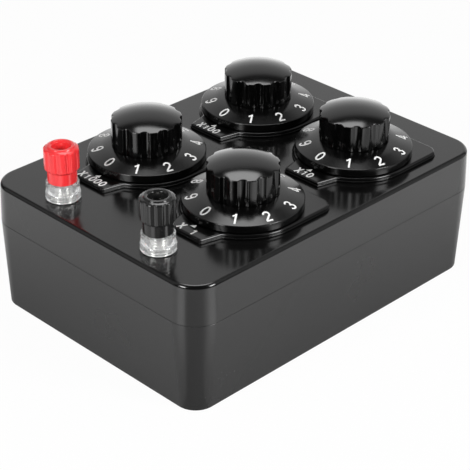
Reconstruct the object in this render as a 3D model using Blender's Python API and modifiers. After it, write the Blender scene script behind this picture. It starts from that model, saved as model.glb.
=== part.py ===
"""Decade resistance box.

Four rotary switches, each with a chain of nine equal resistors, sit under the cover of a
two-shell case. A fluted knob and a numbered disc turn on each switch shaft, and two binding
posts carry the ends of the chain. Lengths are in metres. +Z is up, -Y is the end with the
binding posts, and the origin is on the floor under the middle of the case.
"""

import bmesh
import bpy
from math import atan2, cos, pi, radians, sin, sqrt
from mathutils import Matrix, Vector

# Fits and tolerances
GAP = 0.0003
OVERRUN = 0.0020
MERGE_DISTANCE = 0.00001
HALF_TURN = pi
FULL_TURN = 2 * pi

# Case shells
PARTING_HEIGHT = 0.0372
COVER_HEIGHT = 0.0163
WALL = 0.0025
BASE_DRAFT = 0.0021
COVER_DRAFT = 0.0004
CORNER_RADIUS = 0.0117
FLOOR_CORNER_RADIUS = 0.0084
TOP_EDGE_RADIUS = 0.0015
FLOOR_EDGE_CHAMFER = 0.0006
TONGUE_HEIGHT = 0.0018
TONGUE_THICKNESS = 0.0009
SIDE_MARGIN = 0.0071
BACK_MARGIN = 0.0162
FRONT_MARGIN = 0.0055

# Corner bosses and the screws that close the case
BOSS_RADIUS = 0.0045
BOSS_INSET = 0.0095
SCREW_RADIUS = 0.0014
SCREW_HEAD_RADIUS = 0.0026
SCREW_HEAD_HEIGHT = 0.0018
SCREW_LENGTH = 0.0150
SCREW_GRIP = 0.0080

# Dial plates
DIAL_RADIUS = 0.0230
PLATE_LEDGE = 0.0010
PLATE_BACK_EXTRA = 0.0008
PLATE_CORNER_RADIUS = 0.0055
PLATE_THICKNESS = 0.0016
TAB_REACH = 0.0062
TAB_HALF_WIDTH = 0.0090
TAB_FLARE = 0.0016
PLATE_SPACING_X = 0.0046
PLATE_SPACING_Y = 0.0063

# Numbered discs
DISC_RIM_HEIGHT = 0.0032
DISC_CONE_HEIGHT = 0.0021
DISC_LAND_MARGIN = 0.0004
DISC_EDGE = 0.0003
DISC_HUB_RADIUS = 0.0060
DISC_CROWN = 0.0018

# Knobs
KNOB_RADIUS = 0.0138
KNOB_WALL_HEIGHT = 0.0106
KNOB_DOME_HEIGHT = 0.0029
KNOB_EDGE = 0.0003
KNOB_BORE_DEPTH = 0.0075
FLUTE_COUNT = 12
FLUTE_DEPTH = 0.0009
FLUTE_RADIUS = 0.0030
VALLEY_SHARE = 0.5

# Rotary switches
POSITIONS = 10
POSITION_PITCH = FULL_TURN / POSITIONS
SHAFT_RADIUS = 0.0030
SHAFT_FLAT = 0.0008
SHAFT_STUB = 0.0012
BUSHING_RADIUS = 0.0048
BUSHING_PROUD = 0.0006
BUSHING_NUT_FLATS = 0.0140
BUSHING_NUT_HEIGHT = 0.0024
HOUSING_RADIUS = 0.0140
HOUSING_WALL = 0.0015
ROTOR_RADIUS = 0.0052
ROTOR_HEIGHT = 0.0026
STOP_CIRCLE = 0.0078
STOP_PIN_RADIUS = 0.0012
STOP_LUG_EXTRA = 0.0014
WIPER_THICKNESS = 0.0005
WIPER_HALF_WIDTH = 0.0010
WIPER_HUB_WIDTH = 0.0017
DECK_THICKNESS = 0.0015
CONTACT_MARGIN = 0.0028
CONTACT_SIDE = 0.0012
CONTACT_HEAD_HEIGHT = 0.0009
CONTACT_TAIL_LENGTH = 0.0030
SLIP_RING_RADIUS = 0.0066
SLIP_RING_WIDTH = 0.0018
RESISTOR_RADIUS = 0.0010
RESISTOR_LENGTH = 0.0034
RESISTOR_LEAD_RADIUS = 0.0003
RESISTOR_DROP = 0.0017

# Binding posts
COLLAR_RADIUS = 0.0067
COLLAR_NECK_INSET = 0.0003
COLLAR_TOP_RADIUS = 0.0063
COLLAR_FOOT_HEIGHT = 0.0026
COLLAR_HEIGHT = 0.0067
POST_SPACING = 0.0055
STUD_RADIUS = 0.0030
STUD_FOOT_RADIUS = 0.0046
STUD_FOOT_HEIGHT = 0.0018
STUD_TAIL = 0.0075
SOCKET_RADIUS = 0.0020
SOCKET_DEPTH = 0.0130
SOCKET_RECESS = 0.0039
CAP_SKIRT_RADIUS = 0.0056
CAP_SKIRT_HEIGHT = 0.0047
CAP_SHOULDER_HEIGHT = 0.0009
CAP_GRIP_RADIUS = 0.0067
CAP_GRIP_HEIGHT = 0.0079
CAP_BEVEL_HEIGHT = 0.0005
CAP_BEVEL_RADIUS = 0.0056
CAP_RING_RADIUS = 0.0051
CAP_RING_HEIGHT = 0.0006
CAP_MOUTH_CHAMFER = 0.0006
CAP_LOBES = 10
CAP_VALLEY_DEPTH = 0.0005
CAP_VALLEY_RADIUS = 0.0016
CLAMP_WASHER_RADIUS = 0.0046
CLAMP_WASHER_HEIGHT = 0.0008
POST_NUT_FLATS = 0.0100
POST_NUT_HEIGHT = 0.0030
LUG_RADIUS = 0.0046
LUG_THICKNESS = 0.0006
LUG_REACH = 0.0095
LUG_TAIL_HALF_WIDTH = 0.0015

# Link wires
WIRE_RADIUS = 0.0006
WIRE_DROP = 0.0050
WIRE_BEND_RADIUS = 0.0030

# Facets
LARGE_STEPS = 32
MEDIUM_STEPS = 20
SMALL_STEPS = 16
TINY_STEPS = 8
RESISTOR_STEPS = 6
NUT_SIDES = 6
CORNER_STEPS = 6
EDGE_STEPS = 3
DOME_STEPS = 3
BEND_STEPS = 3

# Layout worked out from the sizes above
PLATE_HALF = DIAL_RADIUS + PLATE_LEDGE
PLATE_BACK = PLATE_HALF + PLATE_BACK_EXTRA
TAB_END = PLATE_HALF + TAB_REACH
PITCH_X = 2 * PLATE_HALF + PLATE_SPACING_X
PITCH_Y = PLATE_BACK + PLATE_SPACING_Y + TAB_END
CASE_WIDTH = PITCH_X + 2 * (PLATE_HALF + SIDE_MARGIN)
POST_DEPTH = FRONT_MARGIN + 2 * COLLAR_RADIUS + POST_SPACING
CASE_LENGTH = POST_DEPTH + TAB_END + PITCH_Y + PLATE_BACK + BACK_MARGIN
POST_Y = FRONT_MARGIN + COLLAR_RADIUS - CASE_LENGTH / 2
FRONT_ROW = POST_DEPTH + TAB_END - CASE_LENGTH / 2
BACK_ROW = FRONT_ROW + PITCH_Y
COLUMN_X = PITCH_X / 2
TOP = PARTING_HEIGHT + COVER_HEIGHT
CEILING = TOP - WALL
BASE_RIM = PARTING_HEIGHT - GAP / 2
COVER_RIM = PARTING_HEIGHT + GAP / 2
TONGUE_INSET = WALL - TONGUE_THICKNESS
SCREW_TIP = PARTING_HEIGHT + SCREW_GRIP

# Heights of the dial stack, upwards from the cover
PLATE_BOTTOM = TOP + GAP
PLATE_TOP = PLATE_BOTTOM + PLATE_THICKNESS
DISC_BOTTOM = PLATE_TOP + GAP
DISC_RIM = DISC_BOTTOM + DISC_RIM_HEIGHT
DISC_LAND = DISC_RIM + DISC_CONE_HEIGHT
DISC_POCKET = DISC_LAND - DISC_CROWN
KNOB_BOTTOM = DISC_LAND + GAP
KNOB_SHOULDER = KNOB_BOTTOM + KNOB_WALL_HEIGHT
KNOB_TOP = KNOB_SHOULDER + KNOB_DOME_HEIGHT
KNOB_BORE_TOP = KNOB_BOTTOM + KNOB_BORE_DEPTH
BUSHING_NUT_BOTTOM = PLATE_TOP + GAP
BUSHING_TOP = BUSHING_NUT_BOTTOM + BUSHING_NUT_HEIGHT + BUSHING_PROUD
DISC_POCKET_RADIUS = BUSHING_NUT_FLATS / 2 / cos(HALF_TURN / NUT_SIDES) + 2 * GAP
KNOB_BOSS_BOTTOM = BUSHING_TOP + GAP

# Heights of the switch, downwards from the ceiling of the cover
HOUSING_TOP = CEILING - GAP
CAVITY_TOP = HOUSING_TOP - HOUSING_WALL
ROTOR_TOP = CAVITY_TOP - GAP
ROTOR_BOTTOM = ROTOR_TOP - ROTOR_HEIGHT
WIPER_TOP = ROTOR_BOTTOM - GAP
HEAD_TOP = WIPER_TOP - WIPER_THICKNESS - GAP
DECK_TOP = HEAD_TOP - CONTACT_HEAD_HEIGHT
DECK_BOTTOM = DECK_TOP - DECK_THICKNESS
TAIL_BOTTOM = DECK_BOTTOM - CONTACT_TAIL_LENGTH
WIRE_LEVEL = TAIL_BOTTOM - WIRE_DROP
CONTACT_CIRCLE = HOUSING_RADIUS - CONTACT_MARGIN
STOP_ANGLE = POSITION_PITCH / 2
STOP_LUG_HALF_WIDTH = STOP_CIRCLE * sin(STOP_ANGLE) - STOP_PIN_RADIUS - GAP

# Heights of the binding posts
COLLAR_BOTTOM = TOP + GAP
COLLAR_TOP = COLLAR_BOTTOM + COLLAR_HEIGHT
CAP_BOTTOM = COLLAR_TOP + GAP
CAP_SKIRT_TOP = CAP_BOTTOM + CAP_SKIRT_HEIGHT
CAP_GRIP_BOTTOM = CAP_SKIRT_TOP + CAP_SHOULDER_HEIGHT
CAP_GRIP_TOP = CAP_GRIP_BOTTOM + CAP_GRIP_HEIGHT
CAP_BEVEL_TOP = CAP_GRIP_TOP + CAP_BEVEL_HEIGHT
CAP_TOP = CAP_BEVEL_TOP + CAP_RING_HEIGHT
STUD_TOP = CAP_TOP - SOCKET_RECESS
LUG_TOP = CEILING - GAP
POST_NUT_TOP = LUG_TOP - LUG_THICKNESS - GAP

# The dial that faces the front reads 0 at rest, with the wiper on its first contact.
FRONT_ANGLE = -HALF_TURN / 2
DIALS = {
    "x1000": (-COLUMN_X, FRONT_ROW),
    "x100": (-COLUMN_X, BACK_ROW),
    "x10": (COLUMN_X, BACK_ROW),
    "x1": (COLUMN_X, FRONT_ROW),
}
POSTS = {"red": (-COLUMN_X, POST_Y), "black": (COLUMN_X, POST_Y)}
SCREW_NAMES = (
    "case_screw_front_left",
    "case_screw_back_left",
    "case_screw_front_right",
    "case_screw_back_right",
)


# Scene helpers
def clear_scene():
    """Remove whatever the opened file holds."""
    for old in list(bpy.data.objects):
        bpy.data.objects.remove(old, do_unlink=True)


def collection(name):
    """Make a collection under the scene."""
    made = bpy.data.collections.new(name)
    bpy.context.scene.collection.children.link(made)
    return made


def material(name, colour, roughness, metallic=0.0, transmission=0.0):
    """Make a plain Principled material."""
    made = bpy.data.materials.new(name)
    made.use_nodes = True
    shader = made.node_tree.nodes["Principled BSDF"]
    shader.inputs["Base Color"].default_value = (*colour, 1.0)
    shader.inputs["Roughness"].default_value = roughness
    shader.inputs["Metallic"].default_value = metallic
    shader.inputs["Transmission Weight"].default_value = transmission
    made.diffuse_color = (*colour, 1.0)
    return made


def linked(name, data, home):
    """Put mesh or curve data in the scene as an object."""
    made = bpy.data.objects.new(name, data)
    home.objects.link(made)
    return made


def baked(source):
    """Take an object's finished mesh, and remove the object."""
    bpy.context.view_layer.update()
    seen = source.evaluated_get(bpy.context.evaluated_depsgraph_get())
    mesh = bpy.data.meshes.new_from_object(seen)
    mesh.transform(source.matrix_world)
    bpy.data.objects.remove(source, do_unlink=True)
    shape = bmesh.new()
    shape.from_mesh(mesh)
    bmesh.ops.remove_doubles(shape, verts=shape.verts, dist=MERGE_DISTANCE)
    shape.to_mesh(mesh)
    shape.free()
    return mesh


def part(name, mesh, finish, place=(0.0, 0.0)):
    """Place a finished mesh as one named piece, shaded smooth except at its edges."""
    made = linked(name, mesh, PARTS)
    made.location = (*place, 0.0)
    if not mesh.materials:
        mesh.materials.append(finish)
        mesh.shade_smooth()
        mesh.set_sharp_from_angle(angle=SHARP_ANGLE)
    return made


def make_cutter(tool):
    """Keep an object only as the second body of a Boolean."""
    tool.hide_render = True
    tool.display_type = "WIRE"
    for home in list(tool.users_collection):
        home.objects.unlink(tool)
    CUTTERS.objects.link(tool)
    return tool


def boolean(target, tool, operation):
    """Join or cut one body with another."""
    step = target.modifiers.new(operation.title(), "BOOLEAN")
    step.operation = operation
    step.solver = "EXACT"
    step.object = make_cutter(tool)
    return step


def drop(*tools):
    """Remove cutters whose work is baked."""
    for tool in tools:
        bpy.data.objects.remove(tool, do_unlink=True)


# Shapes
def turned(name, profile, steps):
    """Turn a profile of (radius, height) points about Z. It runs down its outer side."""
    closed = min(radius for radius, _ in profile) > 0
    mesh = bpy.data.meshes.new(name)
    edges = [(index, index + 1) for index in range(len(profile) - 1)]
    if closed:
        edges.append((len(profile) - 1, 0))
    mesh.from_pydata([(radius, 0, height) for radius, height in profile], edges, [])
    made = linked(name, mesh, PARTS)
    screw = made.modifiers.new("Turn", "SCREW")
    screw.steps = steps
    screw.render_steps = steps
    screw.use_merge_vertices = True
    screw.merge_threshold = MERGE_DISTANCE
    return made


def circle(radius, steps):
    """Points of a circle about the axis, as a closed outline."""
    angles = [FULL_TURN * step / steps for step in range(steps)]
    return [(radius * cos(angle), radius * sin(angle)) for angle in angles]


def arc(radius, first, last, steps, centre=(0.0, 0.0)):
    """Points of an arc, with both its ends."""
    angles = [first + (last - first) * step / steps for step in range(steps + 1)]
    return [(centre[0] + radius * cos(a), centre[1] + radius * sin(a)) for a in angles]


def flat_piece(name, outlines, bottom, thickness):
    """Fill flat outlines, the later ones as holes, and extrude them to a plate."""
    curve = bpy.data.curves.new(name, "CURVE")
    curve.dimensions = "2D"
    curve.fill_mode = "BOTH"
    curve.extrude = thickness / 2
    for outline in outlines:
        spline = curve.splines.new("POLY")
        spline.points.add(len(outline) - 1)
        for point, place in zip(spline.points, outline):
            point.co = (*place, 0.0, 1.0)
        spline.use_cyclic_u = True
    made = linked(name, curve, PARTS)
    made.location.z = bottom + thickness / 2
    return baked(made)


def cylinders(name, posts, steps):
    """Make one object from upright cylinders, each (x, y, radius, bottom, top)."""
    shape = bmesh.new()
    for x, y, radius, bottom, top in posts:
        place = Matrix.Translation((x, y, (bottom + top) / 2))
        bmesh.ops.create_cone(
            shape,
            cap_ends=True,
            segments=steps,
            radius1=radius,
            radius2=radius,
            depth=top - bottom,
            matrix=place,
        )
    mesh = bpy.data.meshes.new(name)
    shape.to_mesh(mesh)
    shape.free()
    return linked(name, mesh, PARTS)


def block(name, low, high, turn=0.0):
    """Make a box between two corners, turned about Z."""
    shape = bmesh.new()
    size = Vector(high) - Vector(low)
    middle = (Vector(high) + Vector(low)) / 2
    place = Matrix.Rotation(turn, 4, "Z") @ Matrix.Translation(middle) @ Matrix.Diagonal((*size, 1))
    bmesh.ops.create_cube(shape, size=1.0, matrix=place)
    mesh = bpy.data.meshes.new(name)
    shape.to_mesh(mesh)
    shape.free()
    return linked(name, mesh, PARTS)


def rounded_path(corners):
    """Points along straight runs, with the corners between them bent to an arc."""
    path = [corners[0]]
    for before, corner, after in zip(corners, corners[1:], corners[2:]):
        away = (before - corner).normalized()
        onward = (after - corner).normalized()
        for step in range(BEND_STEPS + 1):
            share = step / BEND_STEPS
            start = corner + away * WIRE_BEND_RADIUS * (1 - share)
            path.append(start.lerp(corner + onward * WIRE_BEND_RADIUS * share, share))
    return path + [corners[-1]]


def wire_mesh(name, points, radius, resolution):
    """Round wire along points, closed at both ends."""
    curve = bpy.data.curves.new(name, "CURVE")
    curve.dimensions = "3D"
    curve.bevel_depth = radius
    curve.bevel_resolution = resolution
    curve.use_fill_caps = True
    spline = curve.splines.new("POLY")
    spline.points.add(len(points) - 1)
    for point, place in zip(spline.points, points):
        point.co = (*place, 1.0)
    return baked(linked(name, curve, PARTS))


def rounded_rectangle(inset, radius, height):
    """Points of the case outline, moved in by an inset, at a height."""
    half_x = CASE_WIDTH / 2 - inset
    half_y = CASE_LENGTH / 2 - inset
    points = []
    for quarter, (side_x, side_y) in enumerate(((1, 1), (-1, 1), (-1, -1), (1, -1))):
        centre = (side_x * (half_x - radius), side_y * (half_y - radius))
        first = quarter * HALF_TURN / 2
        points += arc(radius, first, first + HALF_TURN / 2, CORNER_STEPS, centre)
    return [(x, y, height) for x, y in points]


def lofted(name, sections):
    """Skin closed sections that have as many points each, and close both ends."""
    shape = bmesh.new()
    rings = [[shape.verts.new(point) for point in section] for section in sections]
    count = len(rings[0])
    for low, high in zip(rings, rings[1:]):
        for index in range(count):
            after = (index + 1) % count
            shape.faces.new((low[index], low[after], high[after], high[index]))
    shape.faces.new(reversed(rings[0]))
    shape.faces.new(rings[-1])
    bmesh.ops.recalc_face_normals(shape, faces=shape.faces)
    mesh = bpy.data.meshes.new(name)
    shape.to_mesh(mesh)
    shape.free()
    return linked(name, mesh, PARTS)


# Case
def boss_places():
    """Centres of the four corner bosses."""
    reach_x = CASE_WIDTH / 2 - BOSS_INSET
    reach_y = CASE_LENGTH / 2 - BOSS_INSET
    return [(x, y) for x in (-reach_x, reach_x) for y in (-reach_y, reach_y)]


def base_radius(height):
    """Corner radius of the base shell at a height."""
    return FLOOR_CORNER_RADIUS + (CORNER_RADIUS - FLOOR_CORNER_RADIUS) * height / PARTING_HEIGHT


def base_inset(height):
    """How far the base shell leans in at a height."""
    return BASE_DRAFT * (1 - height / PARTING_HEIGHT)


def make_base_shell():
    """Open tray with leaning walls, a locating tongue and four screw bosses."""
    edge = FLOOR_EDGE_CHAMFER
    tongue_radius = CORNER_RADIUS - TONGUE_INSET
    inner_radius = CORNER_RADIUS - WALL
    sections = [
        rounded_rectangle(base_inset(0) + edge, base_radius(0) - edge, 0),
        rounded_rectangle(base_inset(edge), base_radius(edge), edge),
        rounded_rectangle(base_inset(BASE_RIM), base_radius(BASE_RIM), BASE_RIM),
        rounded_rectangle(TONGUE_INSET, tongue_radius, BASE_RIM),
        rounded_rectangle(TONGUE_INSET, tongue_radius, BASE_RIM + TONGUE_HEIGHT),
        rounded_rectangle(WALL, inner_radius, BASE_RIM + TONGUE_HEIGHT),
        rounded_rectangle(WALL, inner_radius, BASE_RIM),
        rounded_rectangle(base_inset(WALL) + WALL, base_radius(WALL) - WALL, WALL),
    ]
    shell = lofted("base_shell", sections)
    seat = SCREW_TIP - SCREW_LENGTH + GAP
    bosses = [(x, y, BOSS_RADIUS, WALL / 2, BASE_RIM) for x, y in boss_places()]
    sinks = [(x, y, SCREW_HEAD_RADIUS + GAP, -OVERRUN, seat) for x, y in boss_places()]
    shanks = [(x, y, SCREW_RADIUS + GAP, -OVERRUN, BASE_RIM + OVERRUN) for x, y in boss_places()]
    boolean(shell, cylinders("base_bosses", bosses, SMALL_STEPS), "UNION")
    boolean(shell, cylinders("base_screw_heads", sinks, SMALL_STEPS), "DIFFERENCE")
    boolean(shell, cylinders("base_screw_shanks", shanks, TINY_STEPS), "DIFFERENCE")
    shell.data.materials.append(CASE_SATIN)
    return shell


def make_top_cover():
    """Shallow lid with a rounded top edge, holes for the switches and posts, and bosses."""
    rebate_inset = TONGUE_INSET - GAP
    rebate_radius = CORNER_RADIUS - rebate_inset
    rebate_top = BASE_RIM + TONGUE_HEIGHT + GAP
    inner_radius = CORNER_RADIUS - WALL
    sections = []
    for step in range(EDGE_STEPS + 1):
        lean = HALF_TURN / 2 * step / EDGE_STEPS
        inset = COVER_DRAFT + TOP_EDGE_RADIUS * (1 - sin(lean))
        drop_down = TOP_EDGE_RADIUS * (1 - cos(lean))
        sections.append(rounded_rectangle(inset, CORNER_RADIUS - inset, TOP - drop_down))
    sections += [
        rounded_rectangle(0, CORNER_RADIUS, COVER_RIM),
        rounded_rectangle(rebate_inset, rebate_radius, COVER_RIM),
        rounded_rectangle(rebate_inset, rebate_radius, rebate_top),
        rounded_rectangle(WALL, inner_radius, rebate_top),
        rounded_rectangle(WALL + COVER_DRAFT, inner_radius - COVER_DRAFT, CEILING),
    ]
    cover = lofted("top_cover", sections)
    boss_top = CEILING + WALL / 2
    screw_top = SCREW_TIP + GAP
    bosses = [(x, y, BOSS_RADIUS, COVER_RIM, boss_top) for x, y in boss_places()]
    screws = [(x, y, SCREW_RADIUS + GAP, COVER_RIM - OVERRUN, screw_top) for x, y in boss_places()]
    holes = [(x, y, BUSHING_RADIUS + GAP) for x, y in DIALS.values()]
    holes += [(x, y, STUD_RADIUS + GAP) for x, y in POSTS.values()]
    drills = [(*hole, CEILING - OVERRUN, TOP + OVERRUN) for hole in holes]
    boolean(cover, cylinders("cover_bosses", bosses, SMALL_STEPS), "UNION")
    boolean(cover, cylinders("cover_screw_holes", screws, TINY_STEPS), "DIFFERENCE")
    boolean(cover, cylinders("cover_holes", drills, MEDIUM_STEPS), "DIFFERENCE")
    cover.data.materials.append(CASE_GLOSS)
    return cover


def make_case_screws():
    """Four pan-head screws that pull the cover down on the base."""
    seat = SCREW_TIP - SCREW_LENGTH
    profile = [
        (0, SCREW_TIP),
        (SCREW_RADIUS, SCREW_TIP - SCREW_RADIUS),
        (SCREW_RADIUS, seat),
        (SCREW_HEAD_RADIUS, seat),
        (SCREW_HEAD_RADIUS, seat - SCREW_HEAD_HEIGHT / 2),
        (SCREW_HEAD_RADIUS - SCREW_HEAD_HEIGHT / 2, seat - SCREW_HEAD_HEIGHT),
        (0, seat - SCREW_HEAD_HEIGHT),
    ]
    screw = baked(turned("screw_pattern", profile, TINY_STEPS))
    for name, place in zip(SCREW_NAMES, boss_places()):
        part(name, screw, STEEL, place)


# Dials
def plate_outline():
    """Round in front, square at the back, with a tapered label tab at the front."""
    tab_base_half = TAB_HALF_WIDTH + TAB_FLARE
    tab_angle = atan2(tab_base_half, sqrt(PLATE_HALF**2 - tab_base_half**2))
    right = arc(PLATE_HALF, FRONT_ANGLE + tab_angle, 0, SMALL_STEPS // 2)
    corner = (PLATE_HALF - PLATE_CORNER_RADIUS, PLATE_BACK - PLATE_CORNER_RADIUS)
    right += arc(PLATE_CORNER_RADIUS, 0, HALF_TURN / 2, CORNER_STEPS, corner)
    left = [(-x, y) for x, y in reversed(right)]
    return [(-TAB_HALF_WIDTH, -TAB_END), (TAB_HALF_WIDTH, -TAB_END)] + right + left


def plate_mesh():
    """Dial plate with the bushing hole."""
    hole = circle(BUSHING_RADIUS + GAP, SMALL_STEPS)
    outlines = [plate_outline(), hole]
    return flat_piece("plate", outlines, PLATE_BOTTOM, PLATE_THICKNESS)


def disc_mesh():
    """Numbered disc: a rim, a shallow cone and a pocket over the bushing nut."""
    land_radius = KNOB_RADIUS + DISC_LAND_MARGIN
    profile = [
        (DISC_HUB_RADIUS, DISC_LAND),
        (land_radius, DISC_LAND),
        (DIAL_RADIUS - DISC_EDGE, DISC_RIM),
        (DIAL_RADIUS, DISC_RIM - DISC_EDGE),
        (DIAL_RADIUS, DISC_BOTTOM),
        (DISC_POCKET_RADIUS, DISC_BOTTOM),
        (DISC_POCKET_RADIUS, DISC_POCKET),
        (DISC_HUB_RADIUS, DISC_POCKET),
    ]
    return baked(turned("disc_pattern", profile, LARGE_STEPS))


def flat_shaft_outline(radius):
    """Circle with one flat, as the end of the switch shaft has."""
    chord = radius - SHAFT_FLAT
    half_opening = atan2(sqrt(radius**2 - chord**2), chord)
    middle = FRONT_ANGLE
    first = middle + half_opening
    return arc(radius, first, first + FULL_TURN - 2 * half_opening, SMALL_STEPS)


def knob_mesh():
    """Domed knob with flutes round its wall, a boss for the disc and a bore with a flat."""
    boss_radius = DISC_HUB_RADIUS - GAP
    dome_radius = KNOB_RADIUS - KNOB_EDGE
    sphere = (dome_radius**2 + KNOB_DOME_HEIGHT**2) / (2 * KNOB_DOME_HEIGHT)
    reaches = [dome_radius * step / DOME_STEPS for step in range(DOME_STEPS + 1)]
    dome = [(reach, KNOB_TOP - sphere + sqrt(sphere**2 - reach**2)) for reach in reaches]
    profile = dome + [
        (KNOB_RADIUS, KNOB_SHOULDER - KNOB_EDGE),
        (KNOB_RADIUS, KNOB_BOTTOM),
        (boss_radius, KNOB_BOTTOM),
        (boss_radius, KNOB_BOSS_BOTTOM),
        (0, KNOB_BOSS_BOTTOM),
    ]
    knob = turned("knob_pattern", profile, 2 * FLUTE_COUNT)
    reach = KNOB_RADIUS - FLUTE_DEPTH + FLUTE_RADIUS
    flutes = []
    for index in range(FLUTE_COUNT):
        angle = FULL_TURN * (index + VALLEY_SHARE) / FLUTE_COUNT
        place = (reach * cos(angle), reach * sin(angle))
        flutes.append((*place, FLUTE_RADIUS, KNOB_BOTTOM - GAP, KNOB_TOP + OVERRUN))
    flute_tool = cylinders("knob_flutes", flutes, SMALL_STEPS)
    boolean(knob, flute_tool, "DIFFERENCE")
    depth = KNOB_BORE_TOP - KNOB_BOSS_BOTTOM + OVERRUN
    outline = flat_shaft_outline(SHAFT_RADIUS + GAP)
    bore = flat_piece("knob_bore", [outline], KNOB_BOSS_BOTTOM - OVERRUN, depth)
    bore_tool = linked("knob_bore", bore, PARTS)
    boolean(knob, bore_tool, "DIFFERENCE")
    mesh = baked(knob)
    drop(flute_tool, bore_tool)
    return mesh


# Rotary switches
def shaft_mesh():
    """Switch shaft with a flat at the top, and a rotor with the stop lug."""
    flat_bottom = BUSHING_TOP + GAP
    shaft_top = KNOB_BORE_TOP - GAP
    profile = [
        (0, shaft_top),
        (SHAFT_RADIUS, shaft_top),
        (SHAFT_RADIUS, ROTOR_TOP),
        (ROTOR_RADIUS, ROTOR_TOP),
        (ROTOR_RADIUS, ROTOR_BOTTOM),
        (SHAFT_RADIUS, ROTOR_BOTTOM),
        (SHAFT_RADIUS, DECK_BOTTOM - SHAFT_STUB),
        (0, DECK_BOTTOM - SHAFT_STUB),
    ]
    shaft = turned("shaft_pattern", profile, SMALL_STEPS)
    side = SHAFT_RADIUS + OVERRUN
    flat = block(
        "shaft_flat",
        (SHAFT_RADIUS - SHAFT_FLAT, -side, flat_bottom),
        (side, side, shaft_top + OVERRUN),
        FRONT_ANGLE,
    )
    lug = block(
        "stop_lug",
        (ROTOR_RADIUS / 2, -STOP_LUG_HALF_WIDTH, ROTOR_BOTTOM + GAP / 2),
        (STOP_CIRCLE + STOP_LUG_EXTRA, STOP_LUG_HALF_WIDTH, ROTOR_TOP - GAP / 2),
        FRONT_ANGLE,
    )
    boolean(shaft, flat, "DIFFERENCE")
    boolean(shaft, lug, "UNION")
    mesh = baked(shaft)
    drop(flat, lug)
    return mesh


def hexagon_nut(name, flats, bore, bottom, height):
    """Plain hexagon nut."""
    outline = circle(flats / 2 / cos(HALF_TURN / NUT_SIDES), NUT_SIDES)
    return flat_piece(name, [outline, circle(bore, SMALL_STEPS)], bottom, height)


def housing_mesh():
    """Switch housing: threaded bushing on top, open cavity below, with the stop pin."""
    bore = SHAFT_RADIUS + GAP
    cavity_radius = HOUSING_RADIUS - HOUSING_WALL
    profile = [
        (bore, BUSHING_TOP),
        (BUSHING_RADIUS, BUSHING_TOP),
        (BUSHING_RADIUS, HOUSING_TOP),
        (HOUSING_RADIUS, HOUSING_TOP),
        (HOUSING_RADIUS, DECK_TOP + GAP),
        (cavity_radius, DECK_TOP + GAP),
        (cavity_radius, CAVITY_TOP),
        (bore, CAVITY_TOP),
    ]
    housing = turned("housing_pattern", profile, MEDIUM_STEPS)
    angle = FRONT_ANGLE + STOP_ANGLE
    place = (STOP_CIRCLE * cos(angle), STOP_CIRCLE * sin(angle))
    pin_span = (ROTOR_BOTTOM, CAVITY_TOP + HOUSING_WALL / 2)
    pin = cylinders("stop_pin", [(*place, STOP_PIN_RADIUS, *pin_span)], TINY_STEPS)
    boolean(housing, pin, "UNION")
    mesh = baked(housing)
    drop(pin)
    return mesh


def contact_angles():
    """Angles of the ten contacts, clockwise from the front."""
    return [FRONT_ANGLE - POSITION_PITCH * index for index in range(POSITIONS)]


def deck_mesh():
    """Contact deck: a moulded disc that holds ten contacts and a slip ring with its tail."""
    hole = circle(SHAFT_RADIUS + GAP, SMALL_STEPS)
    outlines = [circle(HOUSING_RADIUS, MEDIUM_STEPS), hole]
    deck = linked("deck", flat_piece("deck", outlines, DECK_BOTTOM, DECK_THICKNESS), PARTS)
    outer = SLIP_RING_RADIUS + SLIP_RING_WIDTH / 2
    inner = SLIP_RING_RADIUS - SLIP_RING_WIDTH / 2
    middle = (DECK_TOP + DECK_BOTTOM) / 2
    outlines = [circle(outer, SMALL_STEPS), circle(inner, SMALL_STEPS)]
    ring = linked("ring", flat_piece("ring", outlines, middle, HEAD_TOP - middle), PARTS)
    half = CONTACT_SIDE / 2
    tools = [ring]
    for angle in contact_angles():
        low = (CONTACT_CIRCLE - half, -half, TAIL_BOTTOM)
        tools.append(block("contact", low, (CONTACT_CIRCLE + half, half, HEAD_TOP), angle))
    low = (SLIP_RING_RADIUS - half, -half, TAIL_BOTTOM)
    tools.append(block("ring_tail", low, (SLIP_RING_RADIUS + half, half, middle)))
    for tool in tools:
        boolean(deck, tool, "UNION")
    mesh = baked(deck)
    drop(*tools)
    return mesh


def wiper_mesh():
    """Spring wiper: a hub round the shaft with one arm that reaches the contacts."""
    hub_radius = SHAFT_RADIUS + GAP + WIPER_HUB_WIDTH
    opening = atan2(WIPER_HALF_WIDTH, sqrt(hub_radius**2 - WIPER_HALF_WIDTH**2))
    last = FRONT_ANGLE + FULL_TURN - opening
    outline = arc(hub_radius, FRONT_ANGLE + opening, last, SMALL_STEPS)
    reach = CONTACT_CIRCLE + CONTACT_SIDE / 2
    outline += [(-WIPER_HALF_WIDTH, -reach), (WIPER_HALF_WIDTH, -reach)]
    hole = circle(SHAFT_RADIUS + GAP, SMALL_STEPS)
    return flat_piece("wiper", [outline, hole], WIPER_TOP - WIPER_THICKNESS, WIPER_THICKNESS)


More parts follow.
